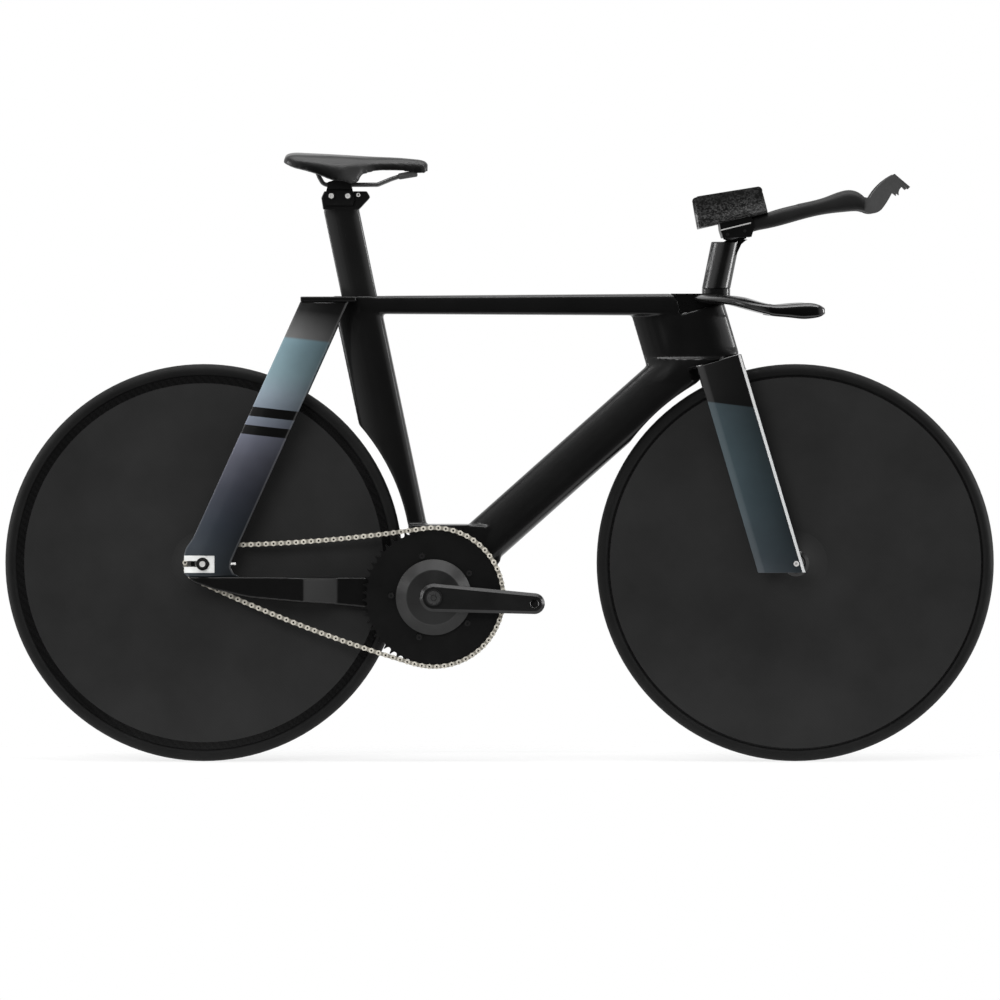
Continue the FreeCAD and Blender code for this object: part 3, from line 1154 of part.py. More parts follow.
save("seatpost_wedge", wedge)
save("seatpost_wedge_bolt", wedge_bolt)

# Saddle clamp: two side plates on cross bolts, which tilt on the front one and hold the rails.
plate_in = POST_HEAD_HALF_WIDTH + CLAMP_GAP
plate_out = plate_in + CLAMP_PLATE
rail_z = POST_HEAD_HEIGHT + RAIL_RISE
clamp_half = CLAMP_LENGTH / 2
clamp_mid = clamp_pivot.x - head_mark.x - 14
jaw_out = RAIL_SPREAD + 2 * RAIL_RADIUS
clamp_plate = side_prism([
    from_head(clamp_mid - 24, 4), from_head(clamp_mid + 22, 4), from_head(clamp_mid + 25, 13),
    from_head(clamp_mid + clamp_half, rail_z), from_head(clamp_mid - clamp_half, rail_z),
    from_head(clamp_mid - 26, 13)], plate_in, plate_out)
jaw = side_prism([
    from_head(clamp_mid - clamp_half, rail_z - 7), from_head(clamp_mid + clamp_half, rail_z - 7),
    from_head(clamp_mid + clamp_half, rail_z + 4), (from_head(clamp_mid, rail_z + 8),
    from_head(clamp_mid - clamp_half, rail_z + 4))], plate_in, jaw_out)
rail_hole = Part.makeCylinder(
    RAIL_RADIUS + RUNNING_GAP, 4 * CLAMP_LENGTH,
    Vector(head_mark.x + clamp_mid - 2 * CLAMP_LENGTH, RAIL_SPREAD, head_mark.z + rail_z), FORWARD)
clamp_bolts = []
for place in (clamp_pivot, clamp_second):
    hole = rod(place, CLAMP_BOLT_RADIUS, -2 * plate_out, 2 * plate_out)
    clamp_plate = clamp_plate.cut(hole)
    clamp_bolts.append(rod(place, CLAMP_BOLT_RADIUS, -plate_out, plate_out).fuse([
        rod(place, 1.6 * CLAMP_BOLT_RADIUS, plate_out, plate_out + 3),
        rod(place, 1.6 * CLAMP_BOLT_RADIUS, -plate_out - 3, -plate_out)]))
clamp = clamp_plate.fuse(jaw).cut(rail_hole)
pivot_hole = rod(clamp_pivot, CLAMP_BOLT_RADIUS + RUNNING_GAP, -plate_out, plate_out)
slot_half = CLAMP_BOLT_RADIUS + 3
second_slot = side_prism([
    (clamp_second.x - CLAMP_BOLT_RADIUS - 1, clamp_second.z - slot_half),
    (clamp_second.x + CLAMP_BOLT_RADIUS + 1, clamp_second.z - slot_half),
    (clamp_second.x + CLAMP_BOLT_RADIUS + 1, clamp_second.z + slot_half),
    (clamp_second.x - CLAMP_BOLT_RADIUS - 1, clamp_second.z + slot_half)], -plate_out, plate_out)
seatpost = post.fuse(post_head).cut([pivot_hole, second_slot])
save("seatpost", seatpost)
save("saddle_clamp", mirrored(clamp), clamp)
save("saddle_clamp_bolts", *clamp_bolts)

# Saddle: a padded cover over a thin shell, carried on two bent rails.
# Each row is the place along the saddle, half width, top and lip height
SADDLE_ROWS = [
    (-97.0, 46.0, 82.0, 74.0), (-85.0, 60.0, 91.5, 68.0), (-62.0, 69.0, 92.0, 62.0),
    (-30.0, 70.0, 90.5, 51.0), (3.0, 61.0, 88.7, 43.0), (28.0, 47.0, 87.2, 51.0),
    (56.0, 31.0, 85.6, 61.5), (99.0, 23.0, 83.7, 62.0), (128.0, 18.5, 81.2, 57.5),
    (143.0, 14.5, 78.0, 56.0), (148.0, 9.5, 73.5, 59.5)]
SADDLE_CROWN = 3.5


def saddle_section(x, half, top, lip):
    """Arched section of the padded cover, open underneath."""
    shoulder = top - SADDLE_CROWN
    ceiling = shoulder - min(SADDLE_PAD, (shoulder - lip) * 0.6)
    return outline(
        lambda y, z: head_mark + Vector(x, y, z),
        (-0.7 * half, shoulder), ((0, top), (0.7 * half, shoulder)),
        ((0.95 * half, 0.6 * shoulder + 0.4 * lip), (half, lip)), (0.88 * half, lip),
        ((0.8 * half, 0.5 * ceiling + 0.5 * lip), (0.6 * half, ceiling)), (-0.6 * half, ceiling),
        ((-0.8 * half, 0.5 * ceiling + 0.5 * lip), (-0.88 * half, lip)), (-half, lip),
        ((-0.95 * half, 0.6 * shoulder + 0.4 * lip), (-0.7 * half, shoulder)))


def shell_section(x, half, top, lip):
    """Section of the shell under the cover."""
    shoulder = top - SADDLE_CROWN
    ceiling = shoulder - min(SADDLE_PAD, (shoulder - lip) * 0.6) - SHELL_GAP
    return outline(
        lambda y, z: head_mark + Vector(x, y, z),
        (-0.59 * half, ceiling), (0.59 * half, ceiling),
        (0.5 * half, ceiling - SADDLE_SHELL), (-0.5 * half, ceiling - SADDLE_SHELL))


saddle_cover = loft([saddle_section(*row) for row in SADDLE_ROWS])
saddle_shell = loft([shell_section(*row) for row in SADDLE_ROWS[1:-1]])
rail = bent_tube([
    head_mark + Vector(127, 8, 58), head_mark + Vector(99, 13, 53), head_mark + Vector(85, 16, 48.5),
    head_mark + Vector(62, RAIL_SPREAD, rail_z), head_mark + Vector(-29, RAIL_SPREAD, rail_z),
    head_mark + Vector(-36, 24, 51), head_mark + Vector(-44, 27, 71)], RAIL_RADIUS, 11.0)
rail = rail.cut(saddle_shell)
save("saddle_cover", saddle_cover)
save("saddle_shell", saddle_shell)
save("saddle_rails", rail, mirrored(rail))
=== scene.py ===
import json
import math
import bmesh
import bpy
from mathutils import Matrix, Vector


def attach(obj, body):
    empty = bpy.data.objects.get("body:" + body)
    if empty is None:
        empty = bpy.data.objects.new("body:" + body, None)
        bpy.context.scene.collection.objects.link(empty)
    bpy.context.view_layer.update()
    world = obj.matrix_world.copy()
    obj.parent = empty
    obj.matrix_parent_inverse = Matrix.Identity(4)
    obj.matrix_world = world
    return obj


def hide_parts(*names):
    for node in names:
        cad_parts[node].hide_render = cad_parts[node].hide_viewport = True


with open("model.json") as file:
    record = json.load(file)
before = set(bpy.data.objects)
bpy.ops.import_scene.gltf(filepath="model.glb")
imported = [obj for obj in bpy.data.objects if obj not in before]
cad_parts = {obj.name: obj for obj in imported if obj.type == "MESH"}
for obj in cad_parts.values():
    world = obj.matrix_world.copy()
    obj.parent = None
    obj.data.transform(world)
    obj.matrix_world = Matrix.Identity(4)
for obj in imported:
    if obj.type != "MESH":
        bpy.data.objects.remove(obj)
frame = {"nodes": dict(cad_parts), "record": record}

for spare in ("Cube", "Camera", "Light"):
    if spare in bpy.data.objects:
        bpy.data.objects.remove(bpy.data.objects[spare])
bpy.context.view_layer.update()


# Front triangle: one hollow carbon moulding of seat tube, top tube, head, down tube and bottom
# bracket block. Its inner corners are rounded over in the mould, and it is sprayed satin black.
# The chainstays are bonded to it and share its finish.
SIDES = {"right": -1, "left": 1}
WELD = 0.00002
nodes = frame["nodes"]
bodies = frame["record"]["behaviour"]["bodies"]
body_of_node = {node: body for body, members in bodies.items() for node in members}


def made_real(piece):
    """Turns a piece's modifiers into plain mesh."""
    bpy.context.view_layer.update()
    ready = piece.evaluated_get(bpy.context.evaluated_depsgraph_get())
    mesh = bpy.data.meshes.new_from_object(ready)
    piece.modifiers.clear()
    piece.data = mesh
    return piece


def copy_of(node, ending):
    """Separate copy of a node, with its loose triangles joined up."""
    mesh = nodes[node].data.copy()
    work = bmesh.new()
    work.from_mesh(mesh)
    bmesh.ops.remove_doubles(work, verts=work.verts, dist=WELD)
    work.to_mesh(mesh)
    work.free()
    if "custom_normal" in mesh.attributes:
        mesh.attributes.remove(mesh.attributes["custom_normal"])
    mesh.materials.clear()
    piece = bpy.data.objects.new(node + ending, mesh)
    bpy.context.collection.objects.link(piece)
    return piece


def moulded(node, grain, passes, shaping=None, ending="_skin"):
    """Copy of a node, shaped and with its hard corners rounded over, as a mould leaves them."""
    piece = copy_of(node, ending)
    rounding = piece.modifiers.new("rounding", "REMESH")
    rounding.mode = "VOXEL"
    rounding.voxel_size = grain
    rounding.use_smooth_shade = True
    if shaping:
        shaping(made_real(piece))
    easing = piece.modifiers.new("easing", "SMOOTH")
    easing.factor = 0.5
    easing.iterations = passes
    return made_real(piece)


def stands_for(piece, node, material):
    """Puts a finished piece in the place of its node."""
    piece.data.materials.clear()
    piece.data.materials.append(material)
    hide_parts(node)
    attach(piece, body_of_node[node])
    return piece


def shade(red, green=None, blue=None):
    """Colour as it reads in print, 0 to 255, as the shader wants it."""
    chip = (red, red, red) if green is None else (red, green, blue)
    linear = [((c / 255 + 0.055) / 1.055) ** 2.4 if c > 10 else c / 255 / 12.92 for c in chip]
    return (*linear, 1.0)


def wire(tree, value, socket):
    """Links one socket to another, or sets its plain value."""
    if isinstance(value, bpy.types.NodeSocket):
        tree.links.new(value, socket)
    else:
        socket.default_value = value


def sums(tree, kind, first, second=0.0, third=None, clamp=False):
    """One step of arithmetic in a node tree."""
    node = tree.nodes.new("ShaderNodeMath")
    node.operation = kind
    node.use_clamp = clamp
    wire(tree, first, node.inputs[0])
    wire(tree, second, node.inputs[1])
    if third is not None:
        wire(tree, third, node.inputs[2])
    return node.outputs[0]


def blended(tree, kind, share, below, above):
    """Two colours laid over each other."""
    node = tree.nodes.new("ShaderNodeMix")
    node.data_type = "RGBA"
    node.blend_type = kind
    wire(tree, share, node.inputs[0])
    wire(tree, below, node.inputs[6])
    wire(tree, above, node.inputs[7])
    return node.outputs[2]


def spread(tree, value, low, high, to_low=0.0, to_high=1.0):
    """A value stretched from one range to another."""
    node = tree.nodes.new("ShaderNodeMapRange")
    node.clamp = True
    wire(tree, value, node.inputs["Value"])
    ends = {"From Min": low, "From Max": high, "To Min": to_low, "To Max": to_high}
    for name, end in ends.items():
        node.inputs[name].default_value = end
    return node.outputs["Result"]


def noise(tree, where, scale, detail=2.0, rough=0.5):
    """A soft noise over a surface."""
    node = tree.nodes.new("ShaderNodeTexNoise")
    wire(tree, where, node.inputs["Vector"])
    wire(tree, scale, node.inputs["Scale"])
    node.inputs["Detail"].default_value = detail
    node.inputs["Roughness"].default_value = rough
    return node.outputs["Fac"]


def new_group(name, inputs, outputs):
    """Empty shader node group with its named sockets."""
    group = bpy.data.node_groups.new(name, "ShaderNodeTree")
    for label, kind, start in inputs:
        socket = group.interface.new_socket(label, in_out="INPUT", socket_type=kind)
        if start is not None:
            socket.default_value = start
    for label, kind in outputs:
        group.interface.new_socket(label, in_out="OUTPUT", socket_type=kind)
    return group, group.nodes.new("NodeGroupInput"), group.nodes.new("NodeGroupOutput")


# Sprayed surfaces are never quite even: the tone drifts, handling leaves haze, and the
# lacquer keeps a fine peel.
SMEARS_PER_DRIFT = 7.0
PEEL_STRENGTH, COAT_ROUGH = 0.4, 0.12
handled, handled_in, handled_out = new_group(
    "handled_surface",
    [("Where", "NodeSocketVector", None), ("Scale", "NodeSocketFloat", 6.0),
     ("Peel", "NodeSocketFloat", 900.0)],
    [("Tone", "NodeSocketFloat"), ("Haze", "NodeSocketFloat"), ("Height", "NodeSocketFloat")])
hand_spot = handled_in.outputs["Where"]
drift = noise(handled, hand_spot, handled_in.outputs["Scale"], detail=4.0, rough=0.6)
smear_scale = sums(handled, "MULTIPLY", handled_in.outputs["Scale"], SMEARS_PER_DRIFT)
smear = noise(handled, hand_spot, smear_scale, detail=3.0, rough=0.55)
peel = noise(handled, hand_spot, handled_in.outputs["Peel"], detail=1.0, rough=0.4)
tone_drift = spread(handled, drift, 0.3, 0.7, to_low=0.82, to_high=1.18)
haze_drift = spread(handled, smear, 0.35, 0.75, to_low=-0.015, to_high=0.03)
handled.links.new(tone_drift, handled_out.inputs["Tone"])
handled.links.new(haze_drift, handled_out.inputs["Haze"])
handled.links.new(peel, handled_out.inputs["Height"])


def finish_of(name, colour, rough, level=0.3, metal=0.0, coat=0.0,
              scale=6.0, peel=900.0, depth=0.00002):
    """Material with a colour, an uneven tone, haze in its roughness and a fine peel."""
    material = bpy.data.materials.new(name)
    material.use_nodes = True
    tree = material.node_tree
    surface = tree.nodes["Principled BSDF"]
    place = tree.nodes.new("ShaderNodeTexCoord")
    life = tree.nodes.new("ShaderNodeGroup")
    life.node_tree = handled
    life.inputs["Scale"].default_value = scale
    life.inputs["Peel"].default_value = peel
    tree.links.new(place.outputs["Object"], life.inputs["Where"])
    tone = tree.nodes.new("ShaderNodeCombineColor")
    for channel in tone.inputs:
        tree.links.new(life.outputs["Tone"], channel)
    toned = blended(tree, "MULTIPLY", 1.0, colour, tone.outputs[0])
    toned.node.name = "toned"
    tree.links.new(toned, surface.inputs["Base Color"])
    hazed = sums(tree, "ADD", life.outputs["Haze"], rough, clamp=True)
    hazed.node.name = "hazed"
    tree.links.new(hazed, surface.inputs["Roughness"])
    bump = tree.nodes.new("ShaderNodeBump")
    bump.inputs["Strength"].default_value = PEEL_STRENGTH
    bump.inputs["Distance"].default_value = depth
    tree.links.new(life.outputs["Height"], bump.inputs["Height"])
    tree.links.new(bump.outputs["Normal"], surface.inputs["Normal"])
    surface.inputs["Metallic"].default_value = metal
    surface.inputs["Specular IOR Level"].default_value = level
    surface.inputs["Coat Weight"].default_value = coat
    surface.inputs["Coat Roughness"].default_value = COAT_ROUGH
    return material


ROLL_FOOT, ROLL_HEAD, HOLLOW_HEAD = 0.640, 0.687, 0.753
ROLL_DEPTH, HOLLOW_DEPTH = 0.0042, 0.0022
ROLL_BEGINS, ROLL_ENDS = (0.215, 0.265), (0.275, 0.315)
ROLL_SIDE, HOLLOW_SIDE = (0.022, 0.028), (0.0155, 0.020)
NOSE_TIP, NOSE_LEAN, NOSE_RUN, NOSE_TAPER = 0.4015, 0.25, 0.045, 0.40
NOSE_FADE = (0.690, 0.702)


def eased(value, low, high):
    """Smooth step from 0 at low to 1 at high."""
    share = min(1.0, max(0.0, (value - low) / (high - low)))
    return share * share * (3.0 - 2.0 * share)


def arch(value, low, high):
    """Half wave from 0 at low to 1 midway and back to 0 at high."""
    return math.sin(math.pi * (value - low) / (high - low))


def head_relief(piece):
    """Draws the roll over the fork and the hollow above it into both sides of the head."""
    for v in piece.data.vertices:
        side, height = abs(v.co.y), v.co.z
        along = eased(v.co.x, *ROLL_BEGINS) * (1.0 - eased(v.co.x, *ROLL_ENDS))
        if ROLL_FOOT < height < ROLL_HEAD:
            push = ROLL_DEPTH * arch(height, ROLL_FOOT, ROLL_HEAD) * eased(side, *ROLL_SIDE)
        elif ROLL_HEAD <= height < HOLLOW_HEAD:
            push = -HOLLOW_DEPTH * arch(height, ROLL_HEAD, HOLLOW_HEAD) * eased(side, *HOLLOW_SIDE)
        else:
            continue
        v.co.y += math.copysign(push * along, v.co.y)
        nose = 1.0 - (NOSE_TIP - NOSE_LEAN * (height - ROLL_HEAD) - v.co.x) / NOSE_RUN
        v.co.y *= 1.0 - NOSE_TAPER * max(0.0, min(1.0, nose)) ** 2 * eased(height, *NOSE_FADE)
    piece.data.update()


STEER_FOOT = Vector((0.45973, 0.0, 0.32407))
STEER_FORWARD = Vector((0.95882, 0.0, 0.28402))
STEER_UP = Vector((-0.28402, 0.0, 0.95882))
CROWN_FLOOR, CROWN_ROOF = 0.3610, 0.3664
CROWN_REAR, CROWN_FRONT, CROWN_HALF_WIDTH = -0.042, -0.015, 0.0285


def crown_room(piece):
    """Opens the corner under the head that the fork's crown sweeps when it turns."""
    for v in piece.data.vertices:
        up = (v.co - STEER_FOOT).dot(STEER_UP)
        forward = (v.co - STEER_FOOT).dot(STEER_FORWARD)
        inside = CROWN_REAR < forward < CROWN_FRONT and abs(v.co.y) < CROWN_HALF_WIDTH
        if inside and CROWN_FLOOR < up < CROWN_ROOF:
            v.co += STEER_UP * (CROWN_ROOF - up)
    piece.data.update()
    return piece


frame_black = finish_of("frame_black", shade(12), rough=0.34, level=0.25, coat=0.35)
triangle = crown_room(moulded("front_triangle", grain=0.0024, passes=5, shaping=head_relief))
stands_for(triangle, "front_triangle", frame_black)
for side in SIDES:
    chainstay = moulded("chainstay_" + side, grain=0.0018, passes=16)
    stands_for(chainstay, "chainstay_" + side, frame_black)


# Seatstays: two flat carbon blades, bonded to a thin wing behind the seat tube. Each has a
# slightly bellied outer face and thin edges. The paint runs from grey to teal grey under a
# sharp line, then fades to near black, with two plain black bands. Painted light lies over it:
# the blades are lighter towards the rear edge and darker at the front, and the grey just above
# the line is partly a painted highlight.
STAY_FOOT, STAY_HEAD = Vector((-0.478, 0.0, 0.360)), Vector((-0.320, 0.0, 0.720))
STAY_HALF_CHORD, STAY_BELLY = 0.034, 0.0055
STAY_INNER, STAY_OUTER = 0.060, 0.074
BLADE_STRIPS, BLADE_EDGE = 6, 0.0008
LEADING_BAND, FACE_SLACK = (0.010, 0.004), 0.0005
# Painted light: how much lighter the blade paint is made at the rear edge, and how much darker at
# the front.
PAINTED_LIGHT_REAR, PAINTED_SHADE_FRONT = 1.75, 0.5


def chord(foot, head):
    """Way across a blade or column that runs from foot to head, towards the front."""
    along = (head - foot).normalized()
    return Vector((along.z, 0.0, -along.x))


def blade(node, foot, head, half_chord, inner, outer, belly, keen=0.0):
    """Copy of a flat blade with a bellied outer face, eased edges and a keener leading edge."""
    piece = copy_of(node, "_skin")
    across = chord(foot, head)
    band_start, band_end = (half_chord - inset for inset in LEADING_BAND)
    work = bmesh.new()
    work.from_mesh(piece.data)
    bmesh.ops.dissolve_limit(work, angle_limit=math.radians(1.0),
                             verts=work.verts, edges=work.edges)
    for v in work.verts:
        reach = (v.co - foot).dot(across)
        if band_start < reach < band_end and abs(v.co.y) > outer - FACE_SLACK:
            v.co += across * keen
    for strip in range(1 - BLADE_STRIPS, BLADE_STRIPS):
        whole = list(work.verts) + list(work.edges) + list(work.faces)
        cut = foot + across * half_chord * strip / BLADE_STRIPS
        bmesh.ops.bisect_plane(work, geom=whole, plane_co=cut, plane_no=across)
    for v in work.verts:
        share = min(1.0, abs((v.co - foot).dot(across)) / half_chord)
        depth = min(1.0, max(0.0, (abs(v.co.y) - inner) / (outer - inner)))
        v.co.y -= math.copysign(belly * share ** 2 * depth, v.co.y)
    bmesh.ops.recalc_face_normals(work, faces=work.faces)
    work.to_mesh(piece.data)
    work.free()
    piece.data.shade_smooth()
    easing = piece.modifiers.new("easing", "BEVEL")
    easing.width = BLADE_EDGE
    easing.segments = 2
    easing.limit_method = "ANGLE"
    easing.angle_limit = math.radians(25.0)
    easing.use_clamp_overlap = False
    settling = piece.modifiers.new("settling", "WEIGHTED_NORMAL")
    settling.weight = 60
    return made_real(piece)


def part_of(material, kind):
    """The first node of a kind in a material."""
    return next(node for node in material.node_tree.nodes if node.bl_idname == kind)


def object_place(material):
    """Object coordinates in a material."""
    return part_of(material, "ShaderNodeTexCoord").outputs["Object"]


def axes(tree, vector):
    """A vector's three parts."""
    node = tree.nodes.new("ShaderNodeSeparateXYZ")
    tree.links.new(vector, node.inputs[0])
    return node.outputs["X"], node.outputs["Y"], node.outputs["Z"]


def repaint(material, colour):
    """Lays a varying colour under a material's uneven tone."""
    tree = material.node_tree
    tree.links.new(colour, tree.nodes["toned"].inputs[6])


def painted(name, line_start, line_end, foot, head, half_chord, stops, bands=()):
    """Blade paint: colours by metres below a slanted line, with painted light: lighter towards the
    rear edge, darker towards the front.
    """
    material = finish_of(name, stops[0][1], rough=0.3, level=0.25, coat=0.6)
    tree = material.node_tree
    x, _, z = axes(tree, object_place(material))
    slope = (line_end[1] - line_start[1]) / (line_end[0] - line_start[0])
    line = sums(tree, "MULTIPLY_ADD", x, slope, line_start[1] - slope * line_start[0])
    below = sums(tree, "SUBTRACT", line, z)
    first, last = stops[0][0], stops[-1][0]
    ramp = tree.nodes.new("ShaderNodeValToRGB")
    tree.links.new(spread(tree, below, first, last), ramp.inputs["Fac"])
    while len(ramp.color_ramp.elements) < len(stops):
        ramp.color_ramp.elements.new(0.5)
    for element, (depth, colour) in zip(ramp.color_ramp.elements, stops):
        element.position = (depth - first) / (last - first)
        element.color = colour
    paint = ramp.outputs["Color"]
    for start, end in bands:
        past_start = sums(tree, "GREATER_THAN", below, start)
        inside = sums(tree, "MULTIPLY", past_start, sums(tree, "LESS_THAN", below, end))
        paint = blended(tree, "MIX", inside, paint, shade(9))
    # Painted light: the colour is made lighter towards the rear edge and darker towards the front,
    # as light falls across the bellied blade.
    way = chord(foot, head)
    across = sums(tree, "MULTIPLY_ADD", x, way.x, -way.dot(foot))
    across = sums(tree, "MULTIPLY_ADD", z, way.z, across)
    fade = spread(tree, across, -half_chord, half_chord, PAINTED_LIGHT_REAR, PAINTED_SHADE_FRONT)
    repaint(material, blended(tree, "MULTIPLY", 1.0, paint, fade))
    return material


stay_paint = painted(
    "stay_paint", (-0.363, 0.7176), (-0.287, 0.709), STAY_FOOT, STAY_HEAD, STAY_HALF_CHORD,
    # Above the line the stops run from near black down to grey at the line: partly paint, partly a
    # painted soft highlight.
    [(-0.070, shade(14)), (-0.050, shade(20)), (-0.018, shade(66)), (-0.0005, shade(80)),
     (0.0, shade(86, 106, 113)), (0.060, shade(92, 110, 116)), (0.100, shade(96, 106, 114)),
     (0.165, shade(74, 76, 86)), (0.210, shade(56, 57, 65)), (0.270, shade(40, 42, 49)),
     (0.330, shade(33, 37, 43)), (0.400, shade(38, 42, 46))],
    bands=((0.1225, 0.1385), (0.1540, 0.1700)))
for side in SIDES:
    stay = blade("seatstay_" + side, STAY_FOOT, STAY_HEAD, STAY_HALF_CHORD,
                 STAY_INNER, STAY_OUTER, STAY_BELLY)
    stands_for(stay, "seatstay_" + side, stay_paint)
stands_for(moulded("seatstay_bridge", grain=0.0014, passes=3), "seatstay_bridge", frame_black)


# Dropouts, axle and tension screws: steel inserts bonded into the stay ends, with the axle
# held by nuts against them. All are machined, with fine turning marks, and the nuts are black.
def machined(name, colour, rough, metal=0.75):
    """Bare metal with fine tool marks."""
    return finish_of(name, colour, rough, level=0.5, metal=metal,
                     scale=30.0, peel=2600.0, depth=0.00003)


def dress(material, *names):
    """Gives nodes that keep their own shape a finish."""
    for name in names:
        nodes[name].material_slots[0].material = material


dropout_steel = machined("dropout_steel", shade(236, 237, 235), rough=0.30, metal=0.15)
bolt_steel = machined("bolt_steel", shade(222, 221, 219), rough=0.24, metal=0.3)
nut_black = machined("nut_black", shade(46), rough=0.3, metal=0.5)
bearing_steel = machined("bearing_steel", shade(150), rough=0.35)
dress(dropout_steel, "dropout_inserts")
dress(bolt_steel, "chain_tension_screws", "rear_axle", "seatpost_wedge_bolt")
dress(nut_black, "rear_axle_nuts")
dress(bearing_steel, "headset_bearings", "bottom_bracket_bearings")


# Wheels: thin carbon skins over a foam core, bonded to a carbon rim, with a smooth rubber
# tyre. The skins show a fine twill under satin lacquer, and the rim band is glossy.
TWILL_REPEAT, TWILL_OVER = 4.0, 2.0
weave, weave_in, weave_out = new_group(
    "twill", [("Where", "NodeSocketVector", None), ("Threads", "NodeSocketFloat", 500.0)],
    [("Mask", "NodeSocketFloat"), ("Height", "NodeSocketFloat")])
weave_x, _, weave_z = axes(weave, weave_in.outputs["Where"])
warp = sums(weave, "MULTIPLY", weave_x, weave_in.outputs["Threads"])
weft = sums(weave, "MULTIPLY", weave_z, weave_in.outputs["Threads"])
step = sums(weave, "ADD", sums(weave, "FLOOR", warp), sums(weave, "FLOOR", weft))
over = sums(weave, "LESS_THAN", sums(weave, "FLOORED_MODULO", step, TWILL_REPEAT), TWILL_OVER)
lift_warp = sums(weave, "MULTIPLY", sums(weave, "PINGPONG", warp, 0.5), over)
under = sums(weave, "SUBTRACT", 1.0, over)
lift_weft = sums(weave, "MULTIPLY", sums(weave, "PINGPONG", weft, 0.5), under)
weave.links.new(over, weave_out.inputs["Mask"])
weave.links.new(sums(weave, "ADD", lift_warp, lift_weft), weave_out.inputs["Height"])


def woven(name, dark, light, rough, threads, level=0.3, coat=0.0, depth=0.00005):
    """Woven cloth, bare or under lacquer."""
    material = finish_of(name, dark, rough, level=level, coat=coat)
    tree = material.node_tree
    cloth = tree.nodes.new("ShaderNodeGroup")
    cloth.node_tree = weave
    cloth.inputs["Threads"].default_value = threads
    tree.links.new(object_place(material), cloth.inputs["Where"])
    repaint(material, blended(tree, "MIX", cloth.outputs["Mask"], dark, light))
    bump = part_of(material, "ShaderNodeBump")
    bump.inputs["Distance"].default_value = depth
    tree.links.new(cloth.outputs["Height"], bump.inputs["Height"])
    return material


def distance(tree, first, second):
    """Length of two offsets at right angles."""
    square = sums(tree, "MULTIPLY", second, second)
    return sums(tree, "SQRT", sums(tree, "MULTIPLY_ADD", first, first, square))


# The skins are rubbed dull round the hub, where they rise to it.
AXLE_X, AXLE_Z = 0.5, 0.336
SKIN_ROUGH, RUBBED_ROUGH, RUBBED_REACH, SKIN_REACH = 0.52, 0.9, 0.05, 0.11
disc_skin = woven("disc_skin", shade(35), shade(37), SKIN_ROUGH, 700.0, level=0.14, depth=0.00001)
skin_tree = disc_skin.node_tree
skin_x, _, skin_z = axes(skin_tree, object_place(disc_skin))
past_axle = sums(skin_tree, "SUBTRACT", sums(skin_tree, "ABSOLUTE", skin_x), AXLE_X)
from_axle = distance(skin_tree, past_axle, sums(skin_tree, "SUBTRACT", skin_z, AXLE_Z))
skin_haze = spread(skin_tree, from_axle, RUBBED_REACH, SKIN_REACH, RUBBED_ROUGH, SKIN_ROUGH)
skin_tree.links.new(skin_haze, skin_tree.nodes["Principled BSDF"].inputs["Roughness"])
rim_gloss = woven("rim_gloss", shade(13), shade(16), 0.26, 300.0, level=0.15, coat=0.05)
tyre_rubber = finish_of("tyre_rubber", shade(21), rough=0.6, level=0.16,
                        scale=14.0, peel=1600.0, depth=0.00012)
hub_black = finish_of("hub_black", shade(24), rough=0.15, level=0.4, scale=40.0)
cog_steel = machined("cog_steel", shade(150, 149, 147), rough=0.3)
dress(disc_skin, "rear_disc_right", "rear_disc_left", "front_disc_right", "front_disc_left")
dress(rim_gloss, "rear_rim", "front_rim")
dress(tyre_rubber, "rear_tyre", "front_tyre")
dress(hub_black, "rear_hub", "front_hub", "rear_lockring")
dress(bearing_steel, "rear_hub_bearings", "front_hub_bearings")
dress(cog_steel, "rear_cog")


# Chain: half-inch links of nickel plates, inner and outer in turn, riveted on steel pins. The
# plates are bright round each pin, dark at the pin ends, and dull at the waists.
PITCH = 0.0127
PIN_EDGE, WAIST_EDGE = (0.11, 0.16), (0.30, 0.42)
PLATE_BRIGHT, PLATE_DULL = shade(222, 217, 205), shade(150, 146, 136)
PIN_END_DARK = shade(34, 33, 29)


def link_map(piece):
    """Gives each plate of a chain its own map: along the link and across it, in pitches."""
    work = bmesh.new()
    work.from_mesh(piece.data)
    sheet = work.loops.layers.uv.new("link")
    left = set(work.verts)
    while left:
        plate, open_ends = [], [left.pop()]
        while open_ends:
            corner = open_ends.pop()
            plate.append(corner)
            for side in corner.link_edges:
                other = side.other_vert(corner)
                if other in left:
                    left.remove(other)
                    open_ends.append(other)
        mid_x = (min(v.co.x for v in plate) + max(v.co.x for v in plate)) / 2
        mid_z = (min(v.co.z for v in plate) + max(v.co.z for v in plate)) / 2
        xx = sum((v.co.x - mid_x) ** 2 for v in plate)
        zz = sum((v.co.z - mid_z) ** 2 for v in plate)
        xz = sum((v.co.x - mid_x) * (v.co.z - mid_z) for v in plate)
        turn = 0.5 * math.atan2(2.0 * xz, xx - zz)
        cos, sin = math.cos(turn), math.sin(turn)
        for v in plate:
            x, z = v.co.x - mid_x, v.co.z - mid_z
            spot = ((x * cos + z * sin) / PITCH, (z * cos - x * sin) / PITCH)
            for loop in v.link_loops:
                loop[sheet].uv = spot
    work.to_mesh(piece.data)
    work.free()
    return piece


